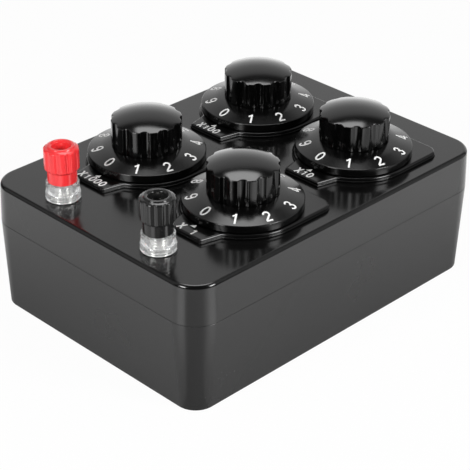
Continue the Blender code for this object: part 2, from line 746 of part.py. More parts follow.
def resistor_chain_mesh():
    """Nine resistors in a chain, whose soldered leads pass just outside the ten contact tails."""
    reach = CONTACT_CIRCLE + CONTACT_SIDE / 2 + GAP + 2 * RESISTOR_LEAD_RADIUS
    level = DECK_BOTTOM - RESISTOR_DROP
    joints = [(reach * cos(angle), reach * sin(angle), level) for angle in contact_angles()]
    chain = linked("chain", wire_mesh("chain", joints, RESISTOR_LEAD_RADIUS, 0), PARTS)
    shape = bmesh.new()
    for angle in contact_angles()[:-1]:
        across = Matrix.Translation((reach * cos(POSITION_PITCH / 2), 0, level))
        place = Matrix.Rotation(angle - POSITION_PITCH / 2, 4, "Z") @ across
        bmesh.ops.create_cone(
            shape,
            cap_ends=True,
            segments=RESISTOR_STEPS,
            radius1=RESISTOR_RADIUS,
            radius2=RESISTOR_RADIUS,
            depth=RESISTOR_LENGTH,
            matrix=place @ Matrix.Rotation(HALF_TURN / 2, 4, "X"),
        )
    bodies_mesh = bpy.data.meshes.new("resistor_bodies")
    shape.to_mesh(bodies_mesh)
    shape.free()
    bodies = linked("resistor_bodies", bodies_mesh, PARTS)
    boolean(chain, bodies, "UNION")
    mesh = baked(chain)
    drop(bodies)
    return mesh


def make_switches():
    """Place the four dials with their switches. All copies share their meshes."""
    nut_bore = BUSHING_RADIUS + GAP
    nut_size = (BUSHING_NUT_FLATS, nut_bore, BUSHING_NUT_BOTTOM, BUSHING_NUT_HEIGHT)
    meshes = {
        "plate": (plate_mesh(), DIAL_BLACK),
        "disc": (disc_mesh(), DIAL_BLACK),
        "knob": (knob_mesh(), DIAL_BLACK),
        "shaft": (shaft_mesh(), STEEL),
        "bushing_nut": (hexagon_nut("bushing_nut", *nut_size), STEEL),
        "switch_housing": (housing_mesh(), ZINC),
        "contact_deck": (deck_mesh(), LAMINATE),
        "wiper": (wiper_mesh(), BRASS),
        "resistor_chain": (resistor_chain_mesh(), RESISTOR_TAN),
    }
    for dial, place in DIALS.items():
        for kind, (mesh, finish) in meshes.items():
            part(f"{dial}_{kind}", mesh, finish, place)


# Binding posts
def cap_mesh():
    """Screw cap: a plain skirt, a lobed grip and a raised ring round the socket."""
    bore = STUD_RADIUS + GAP
    pocket_radius = CLAMP_WASHER_RADIUS + GAP
    pocket_top = CAP_BOTTOM + CLAMP_WASHER_HEIGHT + GAP
    profile = [
        (bore + CAP_MOUTH_CHAMFER, CAP_TOP),
        (CAP_RING_RADIUS, CAP_TOP),
        (CAP_RING_RADIUS, CAP_BEVEL_TOP),
        (CAP_BEVEL_RADIUS, CAP_BEVEL_TOP),
        (CAP_GRIP_RADIUS, CAP_GRIP_TOP),
        (CAP_GRIP_RADIUS, CAP_GRIP_BOTTOM),
        (CAP_SKIRT_RADIUS, CAP_SKIRT_TOP),
        (CAP_SKIRT_RADIUS, CAP_BOTTOM),
        (pocket_radius, CAP_BOTTOM),
        (pocket_radius, pocket_top),
        (bore, pocket_top),
        (bore, CAP_TOP - CAP_MOUTH_CHAMFER),
    ]
    cap = turned("cap_pattern", profile, 2 * CAP_LOBES)
    reach = CAP_GRIP_RADIUS - CAP_VALLEY_DEPTH + CAP_VALLEY_RADIUS
    valleys = []
    for index in range(CAP_LOBES):
        angle = FULL_TURN * (index + VALLEY_SHARE) / CAP_LOBES
        place = (reach * cos(angle), reach * sin(angle))
        valleys.append((*place, CAP_VALLEY_RADIUS, CAP_SKIRT_TOP - GAP, CAP_TOP + OVERRUN))
    valley_tool = cylinders("cap_valleys", valleys, TINY_STEPS)
    boolean(cap, valley_tool, "DIFFERENCE")
    mesh = baked(cap)
    drop(valley_tool)
    return mesh


def washer_mesh():
    """Clamp washer, held in the foot of the cap."""
    hole = circle(STUD_RADIUS + GAP, SMALL_STEPS)
    outlines = [circle(CLAMP_WASHER_RADIUS, SMALL_STEPS), hole]
    return flat_piece("washer", outlines, CAP_BOTTOM, CLAMP_WASHER_HEIGHT)


def collar_mesh():
    """Clear insulating collar with a stepped foot and a pocket for the foot of the stud."""
    bore = STUD_RADIUS + GAP
    pocket_radius = STUD_FOOT_RADIUS + GAP
    pocket_top = COLLAR_BOTTOM + STUD_FOOT_HEIGHT + GAP
    profile = [
        (bore, COLLAR_TOP),
        (COLLAR_TOP_RADIUS, COLLAR_TOP),
        (COLLAR_RADIUS - COLLAR_NECK_INSET, COLLAR_BOTTOM + COLLAR_FOOT_HEIGHT),
        (COLLAR_RADIUS, COLLAR_BOTTOM + COLLAR_FOOT_HEIGHT),
        (COLLAR_RADIUS, COLLAR_BOTTOM),
        (pocket_radius, COLLAR_BOTTOM),
        (pocket_radius, pocket_top),
        (bore, pocket_top),
    ]
    return baked(turned("collar_pattern", profile, MEDIUM_STEPS))


def stud_mesh():
    """Threaded stud with a foot that rests on the cover and a socket down its axis."""
    bottom = CEILING - STUD_TAIL
    socket_bottom = STUD_TOP - SOCKET_DEPTH
    profile = [
        (0, socket_bottom),
        (SOCKET_RADIUS, socket_bottom),
        (SOCKET_RADIUS, STUD_TOP),
        (STUD_RADIUS, STUD_TOP),
        (STUD_RADIUS, COLLAR_BOTTOM + STUD_FOOT_HEIGHT),
        (STUD_FOOT_RADIUS, COLLAR_BOTTOM + STUD_FOOT_HEIGHT),
        (STUD_FOOT_RADIUS, COLLAR_BOTTOM),
        (STUD_RADIUS, COLLAR_BOTTOM),
        (STUD_RADIUS, bottom),
        (0, bottom),
    ]
    return baked(turned("stud_pattern", profile, SMALL_STEPS))


def lug_mesh():
    """Solder lug: a ring under the nut with a tail that points to the dials."""
    opening = atan2(LUG_TAIL_HALF_WIDTH, sqrt(LUG_RADIUS**2 - LUG_TAIL_HALF_WIDTH**2))
    first = opening - FRONT_ANGLE
    outline = arc(LUG_RADIUS, first, first + FULL_TURN - 2 * opening, SMALL_STEPS)
    outline += [(LUG_TAIL_HALF_WIDTH, LUG_REACH), (-LUG_TAIL_HALF_WIDTH, LUG_REACH)]
    hole = circle(STUD_RADIUS + GAP, SMALL_STEPS)
    return flat_piece("lug", [outline, hole], LUG_TOP - LUG_THICKNESS, LUG_THICKNESS)


def make_posts():
    """Place both binding posts. They differ only in the colour of the cap."""
    nut_bottom = POST_NUT_TOP - POST_NUT_HEIGHT
    nut_size = (POST_NUT_FLATS, STUD_RADIUS + GAP, nut_bottom, POST_NUT_HEIGHT)
    meshes = {
        "clamp_washer": (washer_mesh(), NICKEL),
        "collar": (collar_mesh(), CLEAR),
        "stud": (stud_mesh(), NICKEL),
        "post_nut": (hexagon_nut("post_nut", *nut_size), NICKEL),
        "solder_lug": (lug_mesh(), NICKEL),
    }
    caps = {"red": cap_mesh()}
    caps["black"] = caps["red"].copy()
    for post, place in POSTS.items():
        part(f"{post}_cap", caps[post], CAP_FINISHES[post], place)
        for kind, (mesh, finish) in meshes.items():
            part(f"{post}_{kind}", mesh, finish, place)


# Link wires
def make_link_wires():
    """Five wires: post to switch, switch to switch, and last switch to post."""
    def contact(dial):
        x, y = DIALS[dial]
        return Vector((x, y - CONTACT_CIRCLE, TAIL_BOTTOM - GAP))

    def ring(dial):
        x, y = DIALS[dial]
        return Vector((x + SLIP_RING_RADIUS, y, TAIL_BOTTOM - GAP))

    def lug(post):
        x, y = POSTS[post]
        tail = y + LUG_REACH - LUG_TAIL_HALF_WIDTH
        return Vector((x, tail, LUG_TOP - LUG_THICKNESS - GAP))

    links = {
        "wire_red_to_x1000": (lug("red"), contact("x1000")),
        "wire_x1000_to_x100": (ring("x1000"), contact("x100")),
        "wire_x100_to_x10": (ring("x100"), contact("x10")),
        "wire_x10_to_x1": (ring("x10"), contact("x1")),
        "wire_x1_to_black": (ring("x1"), lug("black")),
    }
    for name, (first, last) in links.items():
        level_first = Vector((first.x, first.y, WIRE_LEVEL))
        level_last = Vector((last.x, last.y, WIRE_LEVEL))
        points = rounded_path([first, level_first, level_last, last])
        part(name, wire_mesh(name, points, WIRE_RADIUS, 2), WIRE_GREEN)


clear_scene()
SHARP_ANGLE = radians(35)
PARTS = collection("decade_resistance_box")
CUTTERS = collection("cutters")
CASE_SATIN = material("case_satin_black", (0.030, 0.030, 0.031), 0.45)
CASE_GLOSS = material("cover_gloss_black", (0.012, 0.012, 0.012), 0.12)
DIAL_BLACK = material("dial_gloss_black", (0.010, 0.010, 0.011), 0.18)
CAP_FINISHES = {
    "red": material("cap_red", (0.75, 0.03, 0.035), 0.28),
    "black": material("cap_black", (0.020, 0.020, 0.021), 0.30),
}
CLEAR = material("collar_clear", (0.92, 0.93, 0.93), 0.08, 0.0, 1.0)
NICKEL = material("nickel_plate", (0.66, 0.65, 0.62), 0.22, 1.0)
BRASS = material("brass", (0.72, 0.55, 0.27), 0.28, 1.0)
STEEL = material("zinc_plated_steel", (0.60, 0.61, 0.62), 0.35, 1.0)
ZINC = material("die_cast_zinc", (0.50, 0.50, 0.51), 0.50, 1.0)
LAMINATE = material("paper_laminate", (0.30, 0.16, 0.07), 0.55)
RESISTOR_TAN = material("resistor_tan", (0.62, 0.45, 0.27), 0.40)
WIRE_GREEN = material("wire_insulation", (0.05, 0.30, 0.10), 0.45)

make_base_shell()
make_top_cover()
make_case_screws()
make_switches()
make_posts()
make_link_wires()
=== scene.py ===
# %% [markdown]
# # Decade resistance box
# A bench box in black plastic carries four numbered dials and two binding posts. The packed
# model gives every piece its size and place. This lesson builds the finer visible pieces round
# it, one kind at a time, and then the finishes, the table top and the lamps.

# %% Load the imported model
import math

import bmesh
import bpy
from mathutils import Matrix, Vector


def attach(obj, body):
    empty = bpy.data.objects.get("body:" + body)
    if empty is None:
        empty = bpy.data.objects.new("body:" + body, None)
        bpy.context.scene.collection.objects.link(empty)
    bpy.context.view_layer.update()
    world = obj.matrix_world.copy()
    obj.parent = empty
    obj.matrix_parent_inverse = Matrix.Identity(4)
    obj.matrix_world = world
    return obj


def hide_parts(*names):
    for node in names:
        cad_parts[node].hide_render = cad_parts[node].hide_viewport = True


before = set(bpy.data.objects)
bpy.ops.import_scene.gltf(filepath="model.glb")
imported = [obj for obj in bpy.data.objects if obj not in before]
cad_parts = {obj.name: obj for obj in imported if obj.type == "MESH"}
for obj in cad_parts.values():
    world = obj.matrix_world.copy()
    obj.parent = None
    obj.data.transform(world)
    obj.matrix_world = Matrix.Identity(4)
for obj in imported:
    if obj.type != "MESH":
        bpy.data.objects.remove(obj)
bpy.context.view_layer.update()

MM = 0.001

# %% [markdown]
# ## The camera
# The box was photographed from its front right corner and from about thirty degrees above.
# A long lens keeps the sides nearly parallel. A camera can be turned with angles, but a matrix
# of right, up and back directions is easier to follow, so the camera is placed that way, with
# its small roll turned into the right and up directions.

# %% Camera
scene = bpy.context.scene
scene.view_settings.view_transform = "Standard"
FOCAL_LENGTH = 128.52
SENSOR = 36.0
CAMERA_AZIMUTH = math.radians(44.931)
CAMERA_ELEVATION = math.radians(30.443)
CAMERA_ROLL = math.radians(0.483)
CAMERA_DISTANCE = 619.65 * MM
CAMERA_TARGET = Vector((29.468, -31.004, 46.0)) * MM


def direction(azimuth, elevation):
    """Unit vector from the box towards a place in the studio. Azimuth 0 is in front of the posts."""
    level = math.cos(elevation)
    return Vector((math.sin(azimuth) * level, -math.cos(azimuth) * level, math.sin(elevation)))


def placed(name, data):
    """Object made of its data and linked into the scene."""
    made = bpy.data.objects.new(name, data)
    scene.collection.objects.link(made)
    return made


def place_camera():
    back = direction(CAMERA_AZIMUTH, CAMERA_ELEVATION)
    level_right = Vector((0, 0, 1)).cross(back).normalized()
    level_up = back.cross(level_right)
    right = level_right * math.cos(CAMERA_ROLL) + level_up * math.sin(CAMERA_ROLL)
    up = level_up * math.cos(CAMERA_ROLL) - level_right * math.sin(CAMERA_ROLL)
    lens = bpy.data.cameras.new("camera")
    lens.lens = FOCAL_LENGTH
    lens.sensor_width = SENSOR
    lens.clip_start = 0.01
    made = placed("camera", lens)
    turn = Matrix((right, up, back)).transposed().to_4x4()
    made.matrix_world = Matrix.Translation(CAMERA_TARGET + back * CAMERA_DISTANCE) @ turn
    scene.camera = made
    return made


print("camera at", place_camera().matrix_world.translation)

# %% [markdown]
# ## Skinning rings into a body
# Nearly every piece here is a stack of closed rings: a turned collar, a fluted knob and even
# the case are rings of points at one height after another, skinned with four-sided faces. One
# helper that skins rings is therefore enough for most of the box. A ring of one point closes
# the body like the tip of a cone, and a looped stack closes on itself like a tube.

# %% Rings
def band(shape, upper, lower):
    """Faces between two rings, or between a ring and a single point."""
    count = max(len(upper), len(lower))
    for index in range(count):
        after = (index + 1) % count
        if len(upper) == 1:
            shape.faces.new((upper[0], lower[index], lower[after]))
        elif len(lower) == 1:
            shape.faces.new((upper[index], lower[0], upper[after]))
        else:
            shape.faces.new((upper[index], lower[index], lower[after], upper[after]))


def settled(shape, name):
    """Mesh from a finished bmesh, which is then let go."""
    mesh = bpy.data.meshes.new(name)
    shape.to_mesh(mesh)
    shape.free()
    return mesh


def skinned(name, rings, looped=False):
    """Mesh from rings of points. The ends of a stack that isn't looped are closed."""
    shape = bmesh.new()
    loops = [[shape.verts.new(point) for point in ring] for ring in rings]
    pairs = list(zip(loops, loops[1:]))
    if looped:
        pairs.append((loops[-1], loops[0]))
    for upper, lower in pairs:
        band(shape, upper, lower)
    if not looped:
        for end in (loops[0], loops[-1]):
            if len(end) > 1:
                shape.faces.new(end)
    bmesh.ops.recalc_face_normals(shape, faces=shape.faces)
    return settled(shape, name)


def whole_turn(steps):
    """Angles of equal steps round the axis."""
    return [2 * math.pi * step / steps for step in range(steps)]


def reach_ring(reaches, heights):
    """Ring of points at equal steps round the axis, with one height or a height for each point."""
    if not isinstance(heights, list):
        heights = [heights] * len(reaches)
    angles = whole_turn(len(reaches))
    return [(r * math.cos(a), r * math.sin(a), z) for r, a, z in zip(reaches, angles, heights)]


def circle_ring(radius, height, steps):
    """Ring of points on a circle about the axis, or one point where the radius is nothing."""
    return reach_ring([radius] * steps, height) if radius else [(0.0, 0.0, height)]


def turned(name, profile, steps, looped=False):
    """Mesh turned from (radius, height) points."""
    return skinned(name, [circle_ring(r, z, steps) for r, z in profile], looped)


print("rings ready")

# %% [markdown]
# ## Smooth shading with crisp edges
# A moulded part looks smooth over its curves and sharp at its edges. Blender shades a face
# smoothly unless an edge is marked sharp, so edges that turn by more than an angle are marked.
# Where a large flat face meets a small rounding, its corner normals would be pulled over and a
# mirror-like face would look bent. The Weighted Normal modifier lets the large face win.

# %% Adding a piece
SHARP_ANGLE = math.radians(38)


def smooth(mesh, angle=SHARP_ANGLE):
    mesh.shade_smooth()
    mesh.set_sharp_from_angle(angle=angle)
    return mesh


def add_piece(name, mesh, finish, body, nodes=(), place=(0.0, 0.0)):
    """Put a mesh in the scene as a piece that rides on a body and stands for nodes."""
    made = placed(name, mesh)
    if not mesh.materials:
        mesh.materials.append(finish)
    made.location = (*place, 0.0)
    flat_first = made.modifiers.new("Flat faces first", "WEIGHTED_NORMAL")
    flat_first.mode = "FACE_AREA"
    flat_first.keep_sharp = True
    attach(made, body)
    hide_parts(*nodes)
    return made


def finished(source):
    """Take the mesh of an object with its modifiers, and remove the object."""
    bpy.context.view_layer.update()
    seen = source.evaluated_get(bpy.context.evaluated_depsgraph_get())
    mesh = bpy.data.meshes.new_from_object(seen)
    bpy.data.objects.remove(source, do_unlink=True)
    return mesh


def carved(mesh, cuts):
    """Join bodies to a mesh or cut them away, one Boolean after another."""
    work = placed("carving", mesh)
    tools = []
    for tool_mesh, operation in cuts:
        tool = placed("carving_tool", tool_mesh)
        step = work.modifiers.new(operation, "BOOLEAN")
        step.operation = operation
        step.solver = "EXACT"
        step.object = tool
        tools.append(tool)
    result = finished(work)
    for tool in tools:
        bpy.data.objects.remove(tool, do_unlink=True)
    return result


def rods(places, radius, low, high, steps):
    """Upright rods at several places, as one mesh."""
    shape = bmesh.new()
    for x, y in places:
        spot = Matrix.Translation((x, y, (low + high) / 2))
        bmesh.ops.create_cone(
            shape, cap_ends=True, segments=steps, radius1=radius, radius2=radius,
            depth=high - low, matrix=spot,
        )
    return settled(shape, "rods")


print("piece helpers ready")

# %% [markdown]
# ## Surface effects as node groups
# Moulded plastic is never perfectly even: its gloss drifts a little, and fine dust and hairline
# rubs break up the reflections. Several finishes need the same effects at different strengths,
# so each effect is a node group with named inputs. A group gives out colours, masks, roughness
# values and heights only. The shader itself stays in each material.

# %% Node group helpers
FLOAT = "NodeSocketFloat"
COLOUR = "NodeSocketColor"
SKIN_OUTPUTS = (("Colour", COLOUR), ("Roughness", FLOAT), ("Height", FLOAT))


def new_group(name, inputs):
    """Empty node group that gives out a skin, and the sockets at its two ends."""
    tree = bpy.data.node_groups.new(name, "ShaderNodeTree")
    for label, kind, value in inputs:
        socket = tree.interface.new_socket(name=label, in_out="INPUT", socket_type=kind)
        socket.default_value = value
    for label, kind in SKIN_OUTPUTS:
        tree.interface.new_socket(name=label, in_out="OUTPUT", socket_type=kind)
    return tree, tree.nodes.new("NodeGroupInput").outputs, tree.nodes.new("NodeGroupOutput").inputs


def wire(source, target):
    """Link a node's output into a socket, or set the socket where the source is a plain value."""
    if hasattr(source, "is_output"):
        target.id_data.links.new(source, target)
    else:
        target.default_value = source


def follow(kind, ends, sockets=range(5), **settings):
    """New node fed by sockets and plain values. A socket knows the tree that it belongs to."""
    tree = next(end.id_data for end in ends if hasattr(end, "is_output"))
    node = tree.nodes.new("ShaderNode" + kind)
    for label, value in settings.items():
        setattr(node, label, value)
    for socket, end in zip(sockets, ends):
        wire(end, node.inputs[socket])
    return node


def on_object(tree):
    """Place on the object itself, so that an effect stays with its piece."""
    return tree.nodes.new("ShaderNodeTexCoord").outputs["Object"]


def noise(vector, scale, detail=2.0):
    return follow("TexNoise", (vector, scale, detail), ("Vector", "Scale", "Detail")).outputs["Fac"]


def mapped(value, low, high, new_low=0.0, new_high=1.0, fade="LINEAR"):
    """Value moved from one range to another, and held at the ends."""
    return follow("MapRange", (value, low, high, new_low, new_high), interpolation_type=fade).outputs["Result"]


def maths(operation, first, second):
    return follow("Math", (first, second), operation=operation).outputs[0]


def times(first, second):
    return maths("MULTIPLY", first, second)


MIX_SOCKETS = (0, 6, 7)
MIX_COLOUR = 2


def blended(factor, first, second, blend="MIX"):
    """Colour between two colours. The Mix node keeps its colour sockets behind those for numbers."""
    node = follow("Mix", (factor, first, second), MIX_SOCKETS, data_type="RGBA", blend_type=blend)
    return node.outputs[MIX_COLOUR]


print("group helpers ready")

# %% Moulded plastic skin
DUST_GREY = (0.20, 0.20, 0.21, 1.0)
DUST_ROUGHNESS = 0.35
RUB_ROUGHNESS = 0.12
RUB_DEPTH = 0.6


def make_moulded_skin():
    """Gloss drift, dust specks and hairline rubs of moulded plastic."""
    tree, given, gives = new_group(
        "moulded_skin",
        [
            ("Colour", COLOUR, (0.02, 0.02, 0.02, 1.0)),
            ("Roughness", FLOAT, 0.2),
            ("Roughness drift", FLOAT, 0.05),
            ("Dust", FLOAT, 0.3),
            ("Rubs", FLOAT, 0.3),
            ("Grain scale", FLOAT, 2500.0),
        ],
    )
    place = on_object(tree)
    clouds = noise(place, 38.0, 3.0)
    drift = times(mapped(clouds, 0.3, 0.7, -1.0, 1.0), given["Roughness drift"])
    specks = noise(place, 1900.0, 1.0)
    dust = times(mapped(specks, 0.74, 0.80), given["Dust"])
    stretch = follow("Mapping", (place, (0.3, 0.2, 0.7), (60.0, 900.0, 500.0)), ("Vector", "Rotation", "Scale"))
    hairs = noise(stretch.outputs["Vector"], 1.0, 1.0)
    rubs = times(mapped(hairs, 0.68, 0.76), given["Rubs"])
    grain = noise(place, given["Grain scale"], 2.0)
    tone = blended(dust, given["Colour"], DUST_GREY)
    rough = maths("ADD", given["Roughness"], drift)
    rough = maths("ADD", rough, times(rubs, RUB_ROUGHNESS))
    rough = maths("ADD", rough, times(dust, DUST_ROUGHNESS))
    height = maths("SUBTRACT", grain, times(rubs, RUB_DEPTH))
    for end, socket in zip((tone, rough, height), gives):
        wire(end, socket)
    return tree


MOULDED_SKIN = make_moulded_skin()
print("group", MOULDED_SKIN.name)

# %% Metal skin
def make_metal_skin():
    """Fine grain and faint tarnish of plated or bare metal."""
    tree, given, gives = new_group(
        "metal_skin",
        [
            ("Colour", COLOUR, (0.6, 0.6, 0.6, 1.0)),
            ("Tarnish", COLOUR, (0.4, 0.38, 0.34, 1.0)),
            ("Tarnish share", FLOAT, 0.25),
            ("Roughness", FLOAT, 0.25),
            ("Grain scale", FLOAT, 1500.0),
        ],
    )
    place = on_object(tree)
    stretch = follow("Mapping", (place, (1.0, 1.0, 0.08)), ("Vector", "Scale"))
    grain = noise(stretch.outputs["Vector"], given["Grain scale"], 3.0)
    stains = mapped(noise(place, 160.0, 4.0), 0.45, 0.75)
    share = times(stains, given["Tarnish share"])
    tone = blended(share, given["Colour"], given["Tarnish"])
    rough = maths("ADD", given["Roughness"], mapped(grain, 0.3, 0.7, -0.05, 0.08))
    rough = maths("ADD", rough, times(share, 0.4))
    for end, socket in zip((tone, rough, grain), gives):
        wire(end, socket)
    return tree


METAL_SKIN = make_metal_skin()
print("group", METAL_SKIN.name)

# %% [markdown]
# ## The finishes
# The dials and knobs are polished black plastic, and the base is the same plastic with a satin
# surface. The cover has both: polish on its top and rounded edge, satin on its walls, told apart
# by how far a face looks upward. All get their colour, roughness and relief from the moulded
# skin group. Black plastic gets its visible grey from what it mirrors, so the colour itself is
# very dark and the roughness decides how sharp the mirrored dials are.

# %% Plastics
SKIN_DEPTH = 0.02 * MM
SATIN_BLACK = (0.028, 0.028, 0.028)


def new_finish(name):
    made = bpy.data.materials.new(name)
    made.use_nodes = True
    return made, made.node_tree, made.node_tree.nodes["Principled BSDF"]


def add_relief(shader, height, share, depth):
    """Tilt the shader's normal by the slopes of a height."""
    relief = follow("Bump", (share, depth, height), ("Strength", "Distance", "Height"))
    wire(relief.outputs["Normal"], shader.inputs["Normal"])


def skin_into(tree, shader, group, values, bump_share):
    """Place a skin group in a material and feed it to the shader."""
    skin = tree.nodes.new("ShaderNodeGroup")
    skin.node_tree = group
    for value, socket in zip(values, skin.inputs):
        wire(value, socket)
    wire(skin.outputs["Colour"], shader.inputs["Base Color"])
    wire(skin.outputs["Roughness"], shader.inputs["Roughness"])
    add_relief(shader, skin.outputs["Height"], bump_share, SKIN_DEPTH)


def plastic(name, colour, roughness, drift, dust, rubs, grain_scale, bump_share, ior=1.5):
    made, tree, shader = new_finish(name)
    values = ((*colour, 1.0), roughness, drift, dust, rubs, grain_scale)
    skin_into(tree, shader, MOULDED_SKIN, values, bump_share)
    wire(ior, shader.inputs["IOR"])
    return made


def axes(vector):
    """Sockets with the X, Y and Z of a vector."""
    return follow("SeparateXYZ", (vector,)).outputs


def satin_sides(finish, colour, roughness):
    """Leave the polish of a finish on the top and its rounded edge, and make the walls satin."""
    tree = finish.node_tree
    skin = next(node for node in tree.nodes if node.type == "GROUP")
    normal = tree.nodes.new("ShaderNodeNewGeometry").outputs["Normal"]
    upward = mapped(axes(normal)["Z"], 0.05, 0.25)
    polished = tuple(skin.inputs["Colour"].default_value)
    wire(blended(upward, (*colour, 1.0), polished), skin.inputs["Colour"])
    smoothest = skin.inputs["Roughness"].default_value
    wire(mapped(upward, 0.0, 1.0, roughness, smoothest), skin.inputs["Roughness"])


CASE_SATIN = plastic("case_satin", SATIN_BLACK, 0.24, 0.04, 0.06, 0.10, 3200.0, 0.06, 1.50)
COVER_GLOSS = plastic("cover_gloss", (0.003, 0.003, 0.003), 0.16, 0.02, 0.05, 0.15, 900.0, 0.01, 1.49)
satin_sides(COVER_GLOSS, SATIN_BLACK, 0.22)
DIAL_GLOSS = plastic("dial_gloss", (0.002, 0.002, 0.002), 0.17, 0.02, 0.04, 0.20, 1100.0, 0.02, 1.44)
KNOB_GLOSS = plastic("knob_gloss", (0.001, 0.001, 0.001), 0.13, 0.02, 0.04, 0.20, 1100.0, 0.02, 1.50)
CAP_RED = plastic("post_red", (0.88, 0.038, 0.043), 0.15, 0.04, 0.03, 0.10, 1500.0, 0.03)
CAP_BLACK = plastic("post_black", (0.012, 0.012, 0.012), 0.15, 0.04, 0.10, 0.15, 1500.0, 0.03)
PRINT_WHITE = plastic("print_white", (0.96, 0.96, 0.95), 0.45, 0.05, 0.0, 0.25, 2200.0, 0.10)
LAMINATE = plastic("paper_laminate", (0.30, 0.16, 0.07), 0.50, 0.08, 0.15, 0.40, 700.0, 0.30)
RESISTOR_TAN = plastic("resistor_tan", (0.62, 0.45, 0.27), 0.38, 0.06, 0.10, 0.10, 1200.0, 0.20)
WIRE_GREEN = plastic("wire_insulation", (0.05, 0.30, 0.10), 0.42, 0.05, 0.10, 0.10, 1800.0, 0.10)
print("plastics", [m.name for m in bpy.data.materials if m.use_nodes][-10:])

# %% [markdown]
# The studs and washers are nickel plated, the screws and shafts are zinc-plated steel, the
# switch housings are cast zinc and the wipers are brass. They share the metal skin group, with
# their own colour, tarnish and grain.

# %% Metals
def metal(name, colour, tarnish, tarnish_share, roughness, grain_scale, bump_share):
    made, tree, shader = new_finish(name)
    values = ((*colour, 1.0), (*tarnish, 1.0), tarnish_share, roughness, grain_scale)
    skin_into(tree, shader, METAL_SKIN, values, bump_share)
    shader.inputs["Metallic"].default_value = 1.0
    return made


NICKEL = metal("nickel_plate", (0.72, 0.71, 0.68), (0.52, 0.48, 0.42), 0.25, 0.18, 1200.0, 0.05)
STEEL = metal("zinc_plated_steel", (0.60, 0.61, 0.63), (0.46, 0.43, 0.38), 0.35, 0.30, 1500.0, 0.15)
ZINC = metal("die_cast_zinc", (0.50, 0.50, 0.51), (0.36, 0.36, 0.37), 0.50, 0.48, 2600.0, 0.40)
BRASS = metal("brass", (0.72, 0.55, 0.27), (0.42, 0.28, 0.14), 0.35, 0.26, 1500.0, 0.15)
print("metals ready")

# %% [markdown]
# The collars are clear plastic, which bends the light on its way through. A high transmission
# weight with the index of acrylic does that. The weight is kept below one, which leaves the
# plastic a little milky, and a trace of unevenness keeps it from looking like cut glass.

# %% Clear plastic
CLEAR_SHARE = 0.79
CLEAR_DEPTH = 0.05 * MM


def make_clear():
    made, tree, shader = new_finish("collar_clear")
    place = on_object(tree)
    flow = noise(place, 260.0, 2.0)
    wire(mapped(flow, 0.3, 0.7, 0.0, 0.03), shader.inputs["Roughness"])
    tint = blended(mapped(flow, 0.3, 0.7), (0.97, 0.98, 0.98, 1.0), (0.93, 0.94, 0.94, 1.0))
    wire(tint, shader.inputs["Base Color"])
    add_relief(shader, flow, 0.15, CLEAR_DEPTH)
    shader.inputs["Transmission Weight"].default_value = CLEAR_SHARE
    shader.inputs["IOR"].default_value = 1.49
    return made


CLEAR = make_clear()
print("clear plastic", CLEAR.name)

# %% [markdown]
# ## The case
# The base is a deep tray whose walls lean in slightly towards the floor, so that it leaves its
# mould. The cover is a shallow lid with a rounded top edge, and the two meet at a thin gap. Both
# are rounded rectangles stacked as rings: down the outside, under the rim and up the inside. A
# cube with bevels could do it, but rings give the lean and the growing corner radius directly.

# %% Case sizes
CASE_HALF_X = 57.4 * MM
CASE_HALF_Y = 78.45 * MM
PARTING = 37.2 * MM
PARTING_GAP = 0.12 * MM
TOP = 53.5 * MM
WALL = 2.5 * MM
CORNER = 11.7 * MM
FLOOR_CORNER = 8.4 * MM
LEAN = 2.1 * MM
COVER_LEAN = 0.4 * MM
TOP_ROUND = 1.5 * MM
RIM_ROUND = 0.08 * MM
FOOT_ROUND = 0.6 * MM
TONGUE_INSET = 1.6 * MM
TONGUE_HEIGHT = 1.8 * MM
FIT = 0.3 * MM
BASE_RIM = PARTING - PARTING_GAP / 2
COVER_RIM = PARTING + PARTING_GAP / 2
CEILING = TOP - WALL
CORNER_STEPS = 20
EDGE_STEPS = 7
BOSS_RADIUS = 4.5 * MM
SCREW_HOLE = 1.7 * MM
HEAD_HOLE = 2.9 * MM
HEAD_SEAT = 30.5 * MM
SCREW_HOLE_END = 45.5 * MM
BUSHING_HOLE = 5.1 * MM
POST_HOLE = 3.3 * MM
OVERCUT = 1.0 * MM


def case_ring(inset, radius, height):
    """Rounded rectangle of the case outline, moved in by an inset."""
    points = []
    for quarter, (side_x, side_y) in enumerate(((1, 1), (-1, 1), (-1, -1), (1, -1))):
        middle_x = side_x * (CASE_HALF_X - inset - radius)
        middle_y = side_y * (CASE_HALF_Y - inset - radius)
        for step in range(CORNER_STEPS + 1):
            angle = math.pi / 2 * (quarter + step / CORNER_STEPS)
            points.append((middle_x + radius * math.cos(angle), middle_y + radius * math.sin(angle), height))
    return points


def inset_ring(inset, height):
    """Case outline moved in by an inset that also takes from its corner radius."""
    return case_ring(inset, CORNER - inset, height)


def base_wall_ring(height, inward=0.0):
    """Ring on the leaning wall of the base at a height."""
    share = height / PARTING
    radius = FLOOR_CORNER + (CORNER - FLOOR_CORNER) * share
    return case_ring(LEAN * (1 - share) + inward, radius - inward, height)


BOSS_PLACES = [(x * MM, y * MM) for x in (-47.9, 47.9) for y in (-68.95, 68.95)]
print("case outline points", len(case_ring(0, CORNER, 0)))

